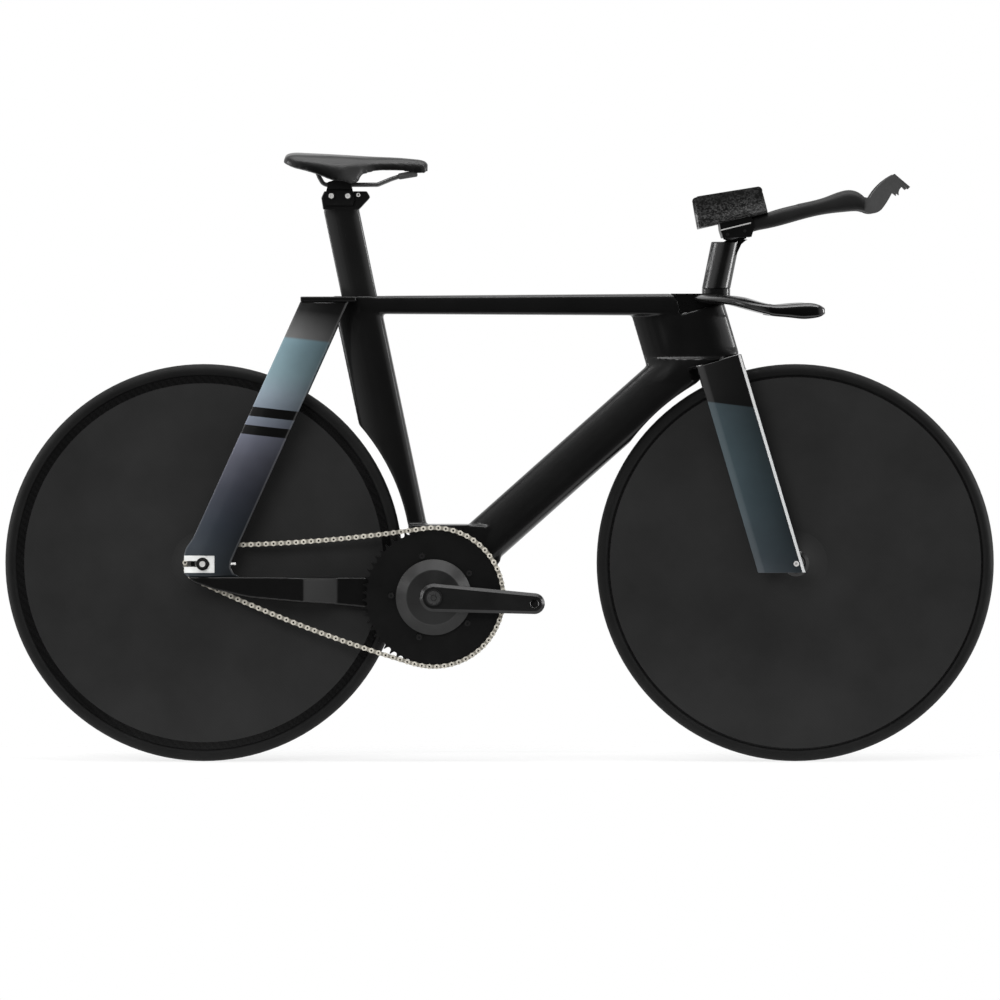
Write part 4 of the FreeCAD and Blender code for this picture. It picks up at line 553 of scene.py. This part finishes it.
chain_nickel = machined("chain_nickel", PLATE_BRIGHT, rough=0.24, metal=0.3)
chain_tree = chain_nickel.node_tree
chain_map = chain_tree.nodes.new("ShaderNodeUVMap")
chain_map.uv_map = "link"
link_x, link_y, _ = axes(chain_tree, chain_map.outputs["UV"])
past_pin = sums(chain_tree, "SUBTRACT", sums(chain_tree, "ABSOLUTE", link_x), 0.5)
from_pin = distance(chain_tree, past_pin, link_y)
pin_end = spread(chain_tree, from_pin, *PIN_EDGE, to_low=1.0, to_high=0.0)
waist = spread(chain_tree, from_pin, *WAIST_EDGE)
plate_tone = blended(chain_tree, "MIX", waist, PLATE_BRIGHT, PLATE_DULL)
repaint(chain_nickel, blended(chain_tree, "MIX", pin_end, plate_tone, PIN_END_DARK))
for links in ("chain_inner_links", "chain_outer_links"):
    stands_for(link_map(copy_of(links, "_run")), links, chain_nickel)


# Crankset: forged arms on a steel spindle, a machined power meter that carries the solid
# chainring on five bolts. The alloy is black anodised, and the ring is turned on its face.
BOTTOM_BRACKET = (-0.11095, 0.0, 0.279)
GROOVE_DEPTH, CORE_EDGE = 0.000004, 0.002


def turned_face(name, colour, rings, cone=0.0, core=0.0):
    """Anodised alloy with fine turning rings about the crank, flat or sloped like a cone."""
    material = finish_of(name, colour, rough=0.34, level=0.3, scale=18.0)
    tree = material.node_tree
    shift = tree.nodes.new("ShaderNodeVectorMath")
    shift.operation = "SUBTRACT"
    tree.links.new(object_place(material), shift.inputs[0])
    shift.inputs[1].default_value = BOTTOM_BRACKET
    x, _, z = axes(tree, shift.outputs[0])
    reach = distance(tree, x, z)
    wave = sums(tree, "SINE", sums(tree, "MULTIPLY", reach, rings))
    grooves = sums(tree, "MULTIPLY", wave, GROOVE_DEPTH)
    bump = part_of(material, "ShaderNodeBump")
    tree.links.new(sums(tree, "MULTIPLY_ADD", reach, -cone, grooves), bump.inputs["Height"])
    bump.inputs["Strength"].default_value = 1.0
    bump.inputs["Distance"].default_value = 1.0
    if core:
        inside = spread(tree, reach, core, core + CORE_EDGE, to_low=1.0, to_high=0.0)
        repaint(material, blended(tree, "MIX", inside, colour, shade(15)))
    return material


ring_black = turned_face("ring_black", shade(17), rings=5200.0)
meter_black = turned_face("meter_black", shade(49), rings=9000.0, cone=0.5, core=0.045)
crank_black = finish_of("crank_black", shade(22), rough=0.32, level=0.3, coat=0.1, scale=25.0)
black_alloy = finish_of("black_alloy", shade(18), rough=0.32, level=0.35, scale=30.0)
bolt_grey = machined("bolt_grey", shade(72), rough=0.28, metal=0.5)
dress(ring_black, "chainring")
dress(meter_black, "power_meter")
dress(crank_black, "crank_arm_right", "crank_arm_left")
dress(black_alloy, "chainring_bolts", "seatpost_wedge")
dress(nut_black, "crank_bolts")
dress(bolt_steel, "crank_spindle")

# Socket heads of the crank and ring bolts: low turned caps with a hexagon sunk in each.
SOCKET_LIFT = 0.35
heads = bpy.data.node_groups.new("socket_heads", "GeometryNodeTree")
heads.interface.new_socket("Spots", in_out="INPUT", socket_type="NodeSocketGeometry")
for label in ("Radius", "Height", "Socket"):
    heads.interface.new_socket(label, in_out="INPUT", socket_type="NodeSocketFloat")
heads.interface.new_socket("Finish", in_out="INPUT", socket_type="NodeSocketMaterial")
heads.interface.new_socket("Heads", in_out="OUTPUT", socket_type="NodeSocketGeometry")
heads_in = heads.nodes.new("NodeGroupInput")
heads_out = heads.nodes.new("NodeGroupOutput")
join = heads.links.new
cap = heads.nodes.new("GeometryNodeMeshCylinder")
cap.inputs["Vertices"].default_value = 24
join(heads_in.outputs["Radius"], cap.inputs["Radius"])
join(heads_in.outputs["Height"], cap.inputs["Depth"])
hexagon = heads.nodes.new("GeometryNodeMeshCylinder")
hexagon.inputs["Vertices"].default_value = 6
join(heads_in.outputs["Socket"], hexagon.inputs["Radius"])
join(heads_in.outputs["Height"], hexagon.inputs["Depth"])
lift = heads.nodes.new("ShaderNodeCombineXYZ")
join(sums(heads, "MULTIPLY", heads_in.outputs["Height"], SOCKET_LIFT), lift.inputs["Z"])
lifted = heads.nodes.new("GeometryNodeTransform")
join(hexagon.outputs["Mesh"], lifted.inputs["Geometry"])
join(lift.outputs["Vector"], lifted.inputs["Translation"])
bored = heads.nodes.new("GeometryNodeMeshBoolean")
bored.operation = "DIFFERENCE"
join(cap.outputs["Mesh"], bored.inputs["Mesh 1"])
join(lifted.outputs["Geometry"], bored.inputs["Mesh 2"])
facing = heads.nodes.new("GeometryNodeInputNamedAttribute")
facing.data_type = "FLOAT_VECTOR"
facing.inputs["Name"].default_value = "facing"
turned = heads.nodes.new("FunctionNodeAlignRotationToVector")
turned.axis = "Z"
join(facing.outputs["Attribute"], turned.inputs["Vector"])
placed = heads.nodes.new("GeometryNodeInstanceOnPoints")
join(heads_in.outputs["Spots"], placed.inputs["Points"])
join(bored.outputs["Mesh"], placed.inputs["Instance"])
join(turned.outputs["Rotation"], placed.inputs["Rotation"])
whole = heads.nodes.new("GeometryNodeRealizeInstances")
join(placed.outputs["Instances"], whole.inputs["Geometry"])
dressed = heads.nodes.new("GeometryNodeSetMaterial")
join(whole.outputs["Geometry"], dressed.inputs["Geometry"])
join(heads_in.outputs["Finish"], dressed.inputs["Material"])
join(dressed.outputs["Geometry"], heads_out.inputs["Heads"])


def grown(piece, tree, sizes):
    """Runs a node tree on a piece with its named sizes, and keeps the plain mesh."""
    growing = piece.modifiers.new("growing", "NODES")
    growing.node_group = tree
    for socket in tree.interface.items_tree:
        if socket.in_out == "INPUT" and socket.name in sizes:
            growing[socket.identifier] = sizes[socket.name]
    return made_real(piece)


def socket_heads(name, spots, radius, height, socket, like, material):
    """Screw heads at a list of spots, each with the way it faces."""
    mesh = bpy.data.meshes.new(name)
    mesh.from_pydata([spot for spot, way in spots], [], [])
    ways = mesh.attributes.new("facing", "FLOAT_VECTOR", "POINT")
    for n, (spot, way) in enumerate(spots):
        ways.data[n].vector = way
    piece = bpy.data.objects.new(name, mesh)
    bpy.context.collection.objects.link(piece)
    grown(piece, heads, {"Radius": radius, "Height": height, "Socket": socket, "Finish": material})
    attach(piece, body_of_node[like])
    return piece


OUTWARDS = ((0.0, -1.0, 0.0), (0.0, 1.0, 0.0))


def both_ends(x, y, z):
    """Spots for a head at each end of a bolt that runs across the bike."""
    return [((x, y * way[1], z), way) for way in OUTWARDS]


CRANK_BOLT_FACE, RING_BOLT_FACE = 0.0757, -0.0462
RING_BOLTS, RING_BOLT_REACH, FIRST_RING_BOLT = 5, 0.072, 34.0
crank_x, _, crank_z = BOTTOM_BRACKET
socket_heads("crank_bolt_heads", both_ends(crank_x, CRANK_BOLT_FACE, crank_z),
             radius=0.0116, height=0.0018, socket=0.0058, like="crank_bolts", material=bolt_grey)
ring_spots = []
for number in range(RING_BOLTS):
    turn = math.radians(FIRST_RING_BOLT + 360.0 / RING_BOLTS * number)
    bolt_x = crank_x + RING_BOLT_REACH * math.cos(turn)
    bolt_z = crank_z + RING_BOLT_REACH * math.sin(turn)
    ring_spots.append(((bolt_x, RING_BOLT_FACE, bolt_z), OUTWARDS[0]))
socket_heads("ring_bolt_heads", ring_spots, radius=0.0046, height=0.0008, socket=0.0024,
             like="chainring_bolts", material=nut_black)


def fitted(name, work, material, body):
    """Makes a piece of a closed mesh, and fixes it to a body."""
    bmesh.ops.recalc_face_normals(work, faces=work.faces)
    mesh = bpy.data.meshes.new(name)
    work.to_mesh(mesh)
    work.free()
    mesh.materials.append(material)
    piece = bpy.data.objects.new(name, mesh)
    bpy.context.collection.objects.link(piece)
    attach(piece, body)
    return piece


def lathed(name, profile, place, axis, body, material, sides=32):
    """Closed turned piece: its profile gives distance along the axis and radius."""
    axis = Vector(axis).normalized()
    first = axis.orthogonal().normalized()
    second = axis.cross(first)
    turns = [2.0 * math.pi * n / sides for n in range(sides)]
    work = bmesh.new()
    rings = []
    for along, radius in profile:
        middle = Vector(place) + axis * along
        if radius == 0.0:
            rings.append([work.verts.new(middle)])
            continue
        rings.append([work.verts.new(middle + (first * math.cos(t) + second * math.sin(t)) * radius)
                      for t in turns])
    for low, high in zip(rings, rings[1:]):
        for n in range(sides):
            corners = [ring[m % len(ring)]
                       for ring, m in ((low, n), (low, n + 1), (high, n + 1), (high, n))]
            work.faces.new(list(dict.fromkeys(corners)))
    piece = fitted(name, work, material, body)
    piece.data.shade_smooth()
    piece.data.set_sharp_from_angle(angle=math.radians(40.0))
    return piece


# Plastic plugs keep the pedal threads clean until pedals are fitted.
plug_plastic = finish_of("plug_plastic", shade(26), rough=0.3, level=0.4, scale=60.0)
PLUG = [(-0.004, 0.0), (-0.004, 0.0069), (0.0022, 0.0069), (0.0028, 0.0063), (0.0028, 0.0045),
        (0.0006, 0.0040), (0.0006, 0.0)]
for mount in frame["record"]["mounts"]:
    if mount["name"].startswith("pedal_thread"):
        lathed(mount["name"].replace("pedal_thread", "thread_plug"), PLUG, mount["pos_m"],
               mount["axis"], "crankset", plug_plastic)


# Fork: one carbon moulding of a steerer, a thin crown arched over the tyre and two flat
# legs. The crown is black, and below a sharp line the legs are painted dark teal grey.
FORK_FOOT, FORK_HEAD = Vector((0.4792, 0.0, 0.3099)), Vector((0.3656, 0.0, 0.6935))
FORK_HALF_CHORD, FORK_BELLY, FORK_KEEN = 0.0387, 0.0045, 0.0012
FORK_INNER, FORK_OUTER = 0.050, 0.062
# The fork legs take the same painted light as the stays: lighter towards the rear edge, darker
# towards the front.
fork_paint = painted(
    "fork_paint", (0.354, 0.608), (0.427, 0.599), FORK_FOOT, FORK_HEAD, FORK_HALF_CHORD,
    [(-0.080, shade(22)), (-0.0005, shade(16)), (0.0, shade(44, 53, 57)),
     (0.060, shade(44, 54, 58)), (0.150, shade(40, 49, 53)), (0.240, shade(42, 49, 53)),
     (0.300, shade(47, 51, 55))])
fork = blade("fork", FORK_FOOT, FORK_HEAD, FORK_HALF_CHORD, FORK_INNER, FORK_OUTER,
             FORK_BELLY, FORK_KEEN)
stands_for(fork, "fork", fork_paint)
dress(bolt_steel, "front_axle", "front_axle_bolts")


# Base bar and riser: the bar is a flat carbon wing with its own stem, lacquered glossy at
# the grips. An alloy column stands on it over a spacer, and a cap closes the steerer.
WING_END, GRIP_START = 0.41, 0.44
WING_ROUGH, GRIP_ROUGH = 0.28, 0.07
WING_COAT, GRIP_COAT, GRIP_COAT_ROUGH = 0.05, 0.7, 0.05
bar_gloss = finish_of("bar_gloss", shade(9), rough=WING_ROUGH, level=0.25, coat=WING_COAT)
bar_tree = bar_gloss.node_tree
bar_x, _, _ = axes(bar_tree, object_place(bar_gloss))
bar_rough = spread(bar_tree, bar_x, WING_END, GRIP_START, WING_ROUGH, GRIP_ROUGH)
bar_coat = spread(bar_tree, bar_x, WING_END, GRIP_START, WING_COAT, GRIP_COAT)
bar_surface = bar_tree.nodes["Principled BSDF"]
bar_tree.links.new(bar_rough, bar_tree.nodes["hazed"].inputs[1])
bar_tree.links.new(bar_coat, bar_surface.inputs["Coat Weight"])
bar_surface.inputs["Coat Roughness"].default_value = GRIP_COAT_ROUGH
dress(bar_gloss, "base_bar")


def bellied(foot, head, half_chord, share_lost, low, high, fade):
    """Shaping that thins a column towards its two edges, between two heights."""
    across = chord(foot, head)

    def shaping(piece):
        for v in piece.data.vertices:
            share = min(1.0, abs((v.co - foot).dot(across)) / half_chord)
            here = eased(v.co.z, low, low + fade) * (1.0 - eased(v.co.z, high - fade, high))
            v.co.y *= 1.0 - share_lost * share ** 2 * here
        piece.data.update()
    return shaping


RISER_FOOT, RISER_HEAD = Vector((0.3658, 0.0, 0.793)), Vector((0.3868, 0.0, 0.8765))
riser_belly = bellied(RISER_FOOT, RISER_HEAD, half_chord=0.0236, share_lost=0.5,
                      low=0.790, high=0.890, fade=0.004)
riser_black = finish_of("riser_black", shade(18), rough=0.24, level=0.4, coat=0.4, scale=20.0)
stands_for(moulded("riser", grain=0.0011, passes=8, shaping=riser_belly), "riser", riser_black)
dress(riser_black, "riser_spacer")
dress(black_alloy, "stem_cap")


def side_plate(name, outline, low, high, body, material):
    """Flat plate: a side view outline carried straight across the bike."""
    work = bmesh.new()
    near = [work.verts.new((x, low, z)) for x, z in outline]
    far = [work.verts.new((x, high, z)) for x, z in outline]
    work.faces.new(near)
    work.faces.new(far[::-1])
    for n in range(len(outline)):
        after = (n + 1) % len(outline)
        work.faces.new((near[n], far[n], far[after], near[after]))
    return fitted(name, work, material, body)


# A bracket at the top of the column flares towards the cradle, a thin seal lies in the gap
# under the stem, and each grip ends in a plug.
NECK = [(0.3720, 0.8745), (0.3868, 0.8832), (0.4068, 0.8834), (0.4190, 0.8820), (0.4150, 0.8800),
        (0.4085, 0.8745), (0.4035, 0.8640), (0.4000, 0.8560), (0.3720, 0.8560)]
NECK_HALF_WIDTH, SEAL_HALF_WIDTH = 0.0100, 0.012
SEAL_REAR, SEAL_FRONT, SEAL_FOOT, SEAL_HEAD = -0.012, 0.0505, 0.45757, 0.45793
seal = [STEER_FOOT + STEER_FORWARD * forward + STEER_UP * up
        for forward, up in ((SEAL_REAR, SEAL_FOOT), (SEAL_FRONT, SEAL_FOOT),
                            (SEAL_FRONT, SEAL_HEAD), (SEAL_REAR, SEAL_HEAD))]
side_plate("neck_bracket", NECK, -NECK_HALF_WIDTH, NECK_HALF_WIDTH, "front_end",
           riser_black)
side_plate("stem_seal", [(c.x, c.z) for c in seal], -SEAL_HALF_WIDTH, SEAL_HALF_WIDTH, "front_end",
           black_alloy)
BAR_PLUG = [(-0.006, 0.0), (-0.006, 0.0060), (0.0004, 0.0060), (0.0010, 0.0054), (0.0010, 0.0)]
BAR_END, BAR_WAY = (0.5422, 0.1835, 0.7624), (1.0, 0.12, 0.1)


def on_side(point, side):
    """A point or a way of the left side, on the side asked for."""
    return point[0], point[1] * side, point[2]


for name, side in SIDES.items():
    lathed("bar_plug_" + name, BAR_PLUG, on_side(BAR_END, side), on_side(BAR_WAY, side),
           "front_end", bolt_steel)


# Arm rests: two hollow carbon extensions clamped in an alloy cradle, with moulded grips.
# The cups are pressed from chopped carbon, so flakes show in every direction.
extension_satin = finish_of("extension_satin", shade(27), rough=0.5, level=0.22,
                            scale=12.0, peel=1400.0, depth=0.00006)
cradle_black = finish_of("cradle_black", shade(14), rough=0.42, level=0.15, scale=30.0)
grip_plastic = finish_of("grip_plastic", shade(60), rough=0.55, level=0.3,
                         scale=20.0, peel=1500.0, depth=0.0001)
dress(extension_satin, "extension_right", "extension_left")
dress(cradle_black, "extension_cradle")
dress(bolt_steel, "tilt_pin")
dress(grip_plastic, "hand_grips")

# Painted light: the flakes are painted brighter in the bottom half of each cup, which lies at a
# slope and catches more light, and darker in its upper half.
FLAKES_PER_METRE, FLAKE_DARK, FLAKE_LIGHT = 420.0, shade(22), shade(92)
CUP_LEAN, CUP_UPPER, CUP_LOWER, PAINTED_SHADE_UPPER = -0.22, 0.868, 0.838, 0.25
chopped = finish_of("chopped_carbon", FLAKE_DARK, rough=0.34, level=0.3, coat=0.25)
chopped_tree = chopped.node_tree
flakes = chopped_tree.nodes.new("ShaderNodeTexVoronoi")
flakes.inputs["Scale"].default_value = FLAKES_PER_METRE
chopped_tree.links.new(object_place(chopped), flakes.inputs["Vector"])
flake_tone = chopped_tree.nodes.new("ShaderNodeSeparateColor")
chopped_tree.links.new(flakes.outputs["Color"], flake_tone.inputs[0])
cup_x, _, cup_z = axes(chopped_tree, object_place(chopped))
cup_height = sums(chopped_tree, "MULTIPLY_ADD", cup_x, CUP_LEAN, cup_z)
# Painted shade on the upper half of each cup, painted light on its bottom half.
painted_lit_lower = spread(chopped_tree, cup_height, CUP_UPPER, CUP_LOWER, PAINTED_SHADE_UPPER, 1.0)
glint = spread(chopped_tree, flake_tone.outputs[0], 0.35, 1.0)
flakes_and_painted_light = sums(chopped_tree, "MULTIPLY", glint, painted_lit_lower)
repaint(chopped, blended(chopped_tree, "MIX", flakes_and_painted_light, FLAKE_DARK, FLAKE_LIGHT))
dress(chopped, "arm_cup_right", "arm_cup_left")

# Thin bright steel strips lie along the cradle's sides as a painted highlight of its top edge,
# cheeks close it over the riser's tongue, and each cup stands on a seat.
HIGHLIGHT_STRIP = [(0.37187, 0.89652), (0.4226, 0.90903), (0.4226, 0.91103), (0.37187, 0.89855)]
CHEEK = [(0.3785, 0.8875), (0.4165, 0.8915), (0.4165, 0.8845), (0.4085, 0.8806),
         (0.3862, 0.8801), (0.3785, 0.8828)]
CUP_SEAT = [(0.4240, 0.9130), (0.4510, 0.9190), (0.4510, 0.9270), (0.4240, 0.9215)]
for kind, outline, near, far, finish in (("cradle_lid_", HIGHLIGHT_STRIP, 0.0725, 0.0746, bolt_steel),
                                         ("cradle_cheek_", CHEEK, 0.0175, 0.0205, cradle_black),
                                         ("cup_seat_", CUP_SEAT, 0.0400, 0.0600, cradle_black)):
    for name, side in SIDES.items():
        side_plate(kind + name, outline, near * side, far * side, "arm_rests",
                   finish)
CRADLE_FACE = 0.0743
cradle_spots = both_ends(0.3835, CRADLE_FACE, 0.8905) + both_ends(0.4125, CRADLE_FACE, 0.8965)
socket_heads("cradle_screws", cradle_spots, radius=0.0027, height=0.0014, socket=0.0014,
             like="extension_cradle", material=nut_black)


# Arm pads: soft foam under a brushed knit, glued into the cups. The edges roll down to the
# cup and the middle stays plump.
FIRST_FRAME, LAST_FRAME = 1, 20


def stuffed(node, grain, passes, inset, pressure, most):
    """Padded cover: a slightly smaller copy of a solid, blown up like a cushion."""
    piece = moulded(node, grain, passes, ending="_cover")
    for v in piece.data.vertices:
        v.co -= v.normal * inset
    piece.data.update()
    before = [v.co.copy() for v in piece.data.vertices]
    scene = bpy.context.scene
    cloth = piece.modifiers.new("cloth", "CLOTH")
    cloth.settings.use_pressure = True
    cloth.settings.uniform_pressure_force = pressure
    cloth.settings.effector_weights.gravity = 0.0
    cloth.point_cache.frame_start = FIRST_FRAME
    cloth.point_cache.frame_end = LAST_FRAME
    for number in range(FIRST_FRAME, LAST_FRAME + 1):
        scene.frame_set(number)
    made_real(piece)
    scene.frame_set(FIRST_FRAME)
    for v, start in zip(piece.data.vertices, before):
        move = v.co - start
        if move.length > most:
            v.co = start + move.normalized() * most
    finer = piece.modifiers.new("finer", "SUBSURF")
    finer.levels = 1
    finer.render_levels = 1
    made_real(piece)
    for face in piece.data.polygons:
        face.use_smooth = True
    return piece


pad_knit = woven("pad_knit", shade(20), shade(27), 0.85, 900.0, level=0.2, depth=0.0003)
pad_knit.node_tree.nodes["Principled BSDF"].inputs["Sheen Weight"].default_value = 0.3
for side in SIDES:
    pad = stuffed("arm_pad_" + side, grain=0.004, passes=4, inset=0.0006, pressure=4.0, most=0.0015)
    stands_for(pad, "arm_pad_" + side, pad_knit)


# Seatpost: a carbon foil that slides in the seat tube, with a slotted head for the clamp.
# It is sprayed like the frame.
POST_FOOT, POST_HEAD = Vector((-0.2394, 0.0, 0.7920)), Vector((-0.2690, 0.0, 0.9408))
post_belly = bellied(POST_FOOT, POST_HEAD, half_chord=0.029, share_lost=0.36,
                     low=0.75, high=0.936, fade=0.018)
post_black = finish_of("post_black", shade(18), rough=0.3, level=0.3, coat=0.4)
seatpost = moulded("seatpost", grain=0.0014, passes=5, shaping=post_belly)
stands_for(seatpost, "seatpost", post_black)


# Saddle: a padded cover drawn over a nylon shell, carried on two bent steel rails that two
# alloy plates clamp to the post. The cover is a fine grained black skin, and a flap of it
# hangs lower on each side.
POST_MARK = Vector((-0.26817, 0.0, 0.93580))
FLAP_BEGINS, FLAP_ENDS = (0.002, 0.022), (0.027, 0.036)
FLAP_DROP, FLAP_HEIGHT, FLAP_SIDE = 0.0085, (0.050, 0.074), (0.022, 0.032)
saddle_skin = finish_of("saddle_skin", shade(10), rough=0.32, level=0.38,
                        scale=16.0, peel=700.0, depth=0.00012)
cover = stuffed("saddle_cover", grain=0.0028, passes=3, inset=0.0003, pressure=4.0, most=0.0012)
for v in cover.data.vertices:
    along, up = v.co.x - POST_MARK.x, v.co.z - POST_MARK.z
    flap = eased(along, *FLAP_BEGINS) * (1.0 - eased(along, *FLAP_ENDS))
    v.co.z -= FLAP_DROP * flap * (1.0 - eased(up, *FLAP_HEIGHT)) * eased(abs(v.co.y), *FLAP_SIDE)
cover.data.update()
stands_for(cover, "saddle_cover", saddle_skin)
shell_nylon = finish_of("shell_nylon", shade(24), rough=0.55, level=0.3, scale=20.0)
rail_steel = machined("rail_steel", shade(95), rough=0.3)
socket_nylon = finish_of("socket_nylon", shade(62), rough=0.45, level=0.35, scale=40.0)
dress(shell_nylon, "saddle_shell")
dress(rail_steel, "saddle_rails")
dress(black_alloy, "saddle_clamp")
dress(nut_black, "saddle_clamp_bolts")
SOCKET = [(-0.016, 0.0), (-0.016, 0.0042), (-0.0145, 0.0052), (0.0145, 0.0056), (0.016, 0.0044),
          (0.016, 0.0)]
SOCKET_MIDDLE, SOCKET_WAY = (-0.1552, 0.0105, 0.9913), (0.028, -0.005, 0.005)
for name, side in SIDES.items():
    lathed("rail_socket_" + name, SOCKET, on_side(SOCKET_MIDDLE, side), on_side(SOCKET_WAY, side),
           "saddle", socket_nylon)
CLAMP_FACE, PIN_FACE = 0.0207, 0.0119
clamp_spots = both_ends(-0.2842, CLAMP_FACE, 0.9558) + both_ends(-0.2562, CLAMP_FACE, 0.9558)
socket_heads("post_pin_heads", both_ends(-0.2385, PIN_FACE, 0.9575),
             radius=0.0034, height=0.0014, socket=0.0015, like="seatpost", material=bolt_steel)
socket_heads("clamp_bolt_heads", clamp_spots, radius=0.0044, height=0.0018, socket=0.0020,
             like="saddle_clamp_bolts", material=bolt_steel)


# Studio: a pale floor that keeps the shadow under the wheels and fades out into a white
# backdrop. Polished surfaces mirror a room with pale walls behind and at both sides, and a
# dark one in front.
FLOOR_REACH, FLOOR_GLOW = 6.0, 0.72
FADE_START, FADE_END, FADE_STRETCH = 0.9, 1.7, 3.0


def layered(tree, share, first, second):
    """Two shaders mixed by a share."""
    node = tree.nodes.new("ShaderNodeMixShader")
    for value, socket in zip((share, first, second), node.inputs):
        tree.links.new(value, socket)
    return node.outputs[0]


floor_mesh = bpy.data.meshes.new("floor")
floor_mesh.from_pydata([(x * FLOOR_REACH, y * FLOOR_REACH, 0.0)
                        for x, y in ((-1, -1), (1, -1), (1, 1), (-1, 1))], [], [(0, 1, 2, 3)])
floor = bpy.data.objects.new("floor", floor_mesh)
bpy.context.collection.objects.link(floor)
floor_paper = bpy.data.materials.new("floor_paper")
floor_paper.use_nodes = True
floor_tree = floor_paper.node_tree
floor_tree.nodes.remove(floor_tree.nodes["Principled BSDF"])
floor_place = floor_tree.nodes.new("ShaderNodeTexCoord").outputs["Object"]
stretch = floor_tree.nodes.new("ShaderNodeMapping")
stretch.inputs["Scale"].default_value = (1.0, FADE_STRETCH, 1.0)
floor_tree.links.new(floor_place, stretch.inputs["Vector"])
reach = floor_tree.nodes.new("ShaderNodeVectorMath")
reach.operation = "LENGTH"
floor_tree.links.new(stretch.outputs["Vector"], reach.inputs[0])
paper = floor_tree.nodes.new("ShaderNodeBsdfDiffuse")
speckle = noise(floor_tree, floor_place, 40.0, detail=3.0)
paper_tone = blended(floor_tree, "MIX", speckle, (0.80, 0.80, 0.80, 1), (0.83, 0.83, 0.83, 1))
floor_tree.links.new(paper_tone, paper.inputs["Color"])
glow = floor_tree.nodes.new("ShaderNodeEmission")
glow.inputs["Strength"].default_value = 1.0
seen = floor_tree.nodes.new("ShaderNodeLightPath").outputs
looked_at = sums(floor_tree, "ADD", seen["Is Camera Ray"], seen["Is Glossy Ray"])
looked_at = sums(floor_tree, "ADD", looked_at, seen["Is Transmission Ray"], clamp=True)
glow_share = sums(floor_tree, "MULTIPLY", looked_at, FLOOR_GLOW)
white_floor = layered(floor_tree, glow_share, paper.outputs[0], glow.outputs[0])
clear = floor_tree.nodes.new("ShaderNodeBsdfTransparent")
far_off = spread(floor_tree, reach.outputs["Value"], FADE_START, FADE_END)
floor_tree.links.new(layered(floor_tree, far_off, white_floor, clear.outputs[0]),
                     floor_tree.nodes["Material Output"].inputs["Surface"])
floor_mesh.materials.append(floor_paper)

# Each wall of the room: where it starts and is full, by direction, and how bright it is there.
BACK_WALL, CEILING = (-0.1, 0.4, 0.0, 1.0), (0.5, 0.95, 0.015, 0.3)
LEFT_WALL, RIGHT_WALL = (-0.3, -0.75, 0.0, 0.7), (0.5, 0.85, 0.0, 0.9)
SOFT_FILL = 0.5
world = bpy.data.worlds.new("studio")
bpy.context.scene.world = world
world.use_nodes = True
room_tree = world.node_tree
backdrop = room_tree.nodes["Background"]
seen = room_tree.nodes.new("ShaderNodeLightPath").outputs
look_x, look_y, look_z = axes(
    room_tree, room_tree.nodes.new("ShaderNodeTexCoord").outputs["Generated"])
room = spread(room_tree, look_y, *BACK_WALL)
for way, wall in ((look_z, CEILING), (look_x, LEFT_WALL), (look_x, RIGHT_WALL)):
    room = sums(room_tree, "MAXIMUM", room, spread(room_tree, way, *wall))
shown = sums(room_tree, "MAXIMUM", seen["Is Camera Ray"], seen["Is Transmission Ray"])
mirror = sums(room_tree, "MULTIPLY", seen["Is Glossy Ray"], room)
direct = sums(room_tree, "MAXIMUM", shown, mirror)
sharp = sums(room_tree, "MAXIMUM", shown, seen["Is Glossy Ray"])
softly = sums(room_tree, "SUBTRACT", 1.0, sharp)
room_tree.links.new(sums(room_tree, "MULTIPLY_ADD", softly, SOFT_FILL, direct),
                    backdrop.inputs["Strength"])
backdrop.inputs["Color"].default_value = (1.0, 1.0, 1.0, 1.0)


def soft_box(name, place, target, width, height, power, mirrored=True):
    """Large soft lamp aimed at a point, which polished surfaces may or may not mirror."""
    lamp = bpy.data.lights.new(name, "AREA")
    lamp.shape = "RECTANGLE"
    lamp.size = width
    lamp.size_y = height
    lamp.energy = power
    box = bpy.data.objects.new(name, lamp)
    box.location = place
    box.rotation_euler = (Vector(target) - Vector(place)).to_track_quat("-Z", "Y").to_euler()
    bpy.context.collection.objects.link(box)
    box.visible_camera = False
    box.visible_glossy = mirrored


# A narrow line and a wide box hang above, a large box that nothing mirrors stands at the
# front left, and a strip stands at each end of the bike.
BOX_AIM, STRIP_AIM = (0.0, 0.0, 0.5), (0.0, 0.0, 0.6)
soft_box("line_above", (0.2, -0.75, 2.6), (0.2, 0.0, 0.8), width=3.2, height=0.16, power=14.0)
soft_box("soft_box_above", (0.0, -0.2, 3.0), BOX_AIM, width=3.6, height=1.6, power=60.0)
soft_box("soft_box_front", (-1.8, -4.4, 2.6), BOX_AIM, width=2.6, height=2.0, power=150.0,
         mirrored=False)
soft_box("strip_right", (3.0, -0.15, 1.0), STRIP_AIM, width=0.5, height=2.0, power=45.0)
soft_box("strip_left", (-3.0, -0.15, 1.0), STRIP_AIM, width=0.5, height=2.0, power=30.0)


# Camera: far off and square to the drive side, a little above the bike's middle, with a long
# lens that keeps the view almost flat.
CAMERA_PLACE, CAMERA_AIM = Vector((0.0007, -15.0, 0.8)), Vector((0.0007, 0.0, 0.442))
lens = bpy.data.cameras.new("camera")
lens.sensor_width = 36.0
lens.lens = 319.4
lens.clip_end = 100.0
camera = bpy.data.objects.new("camera", lens)
camera.location = CAMERA_PLACE
camera.rotation_euler = (CAMERA_AIM - CAMERA_PLACE).to_track_quat("-Z", "Y").to_euler()
bpy.context.collection.objects.link(camera)
bpy.context.scene.camera = camera
bpy.context.scene.view_settings.view_transform = "Standard"
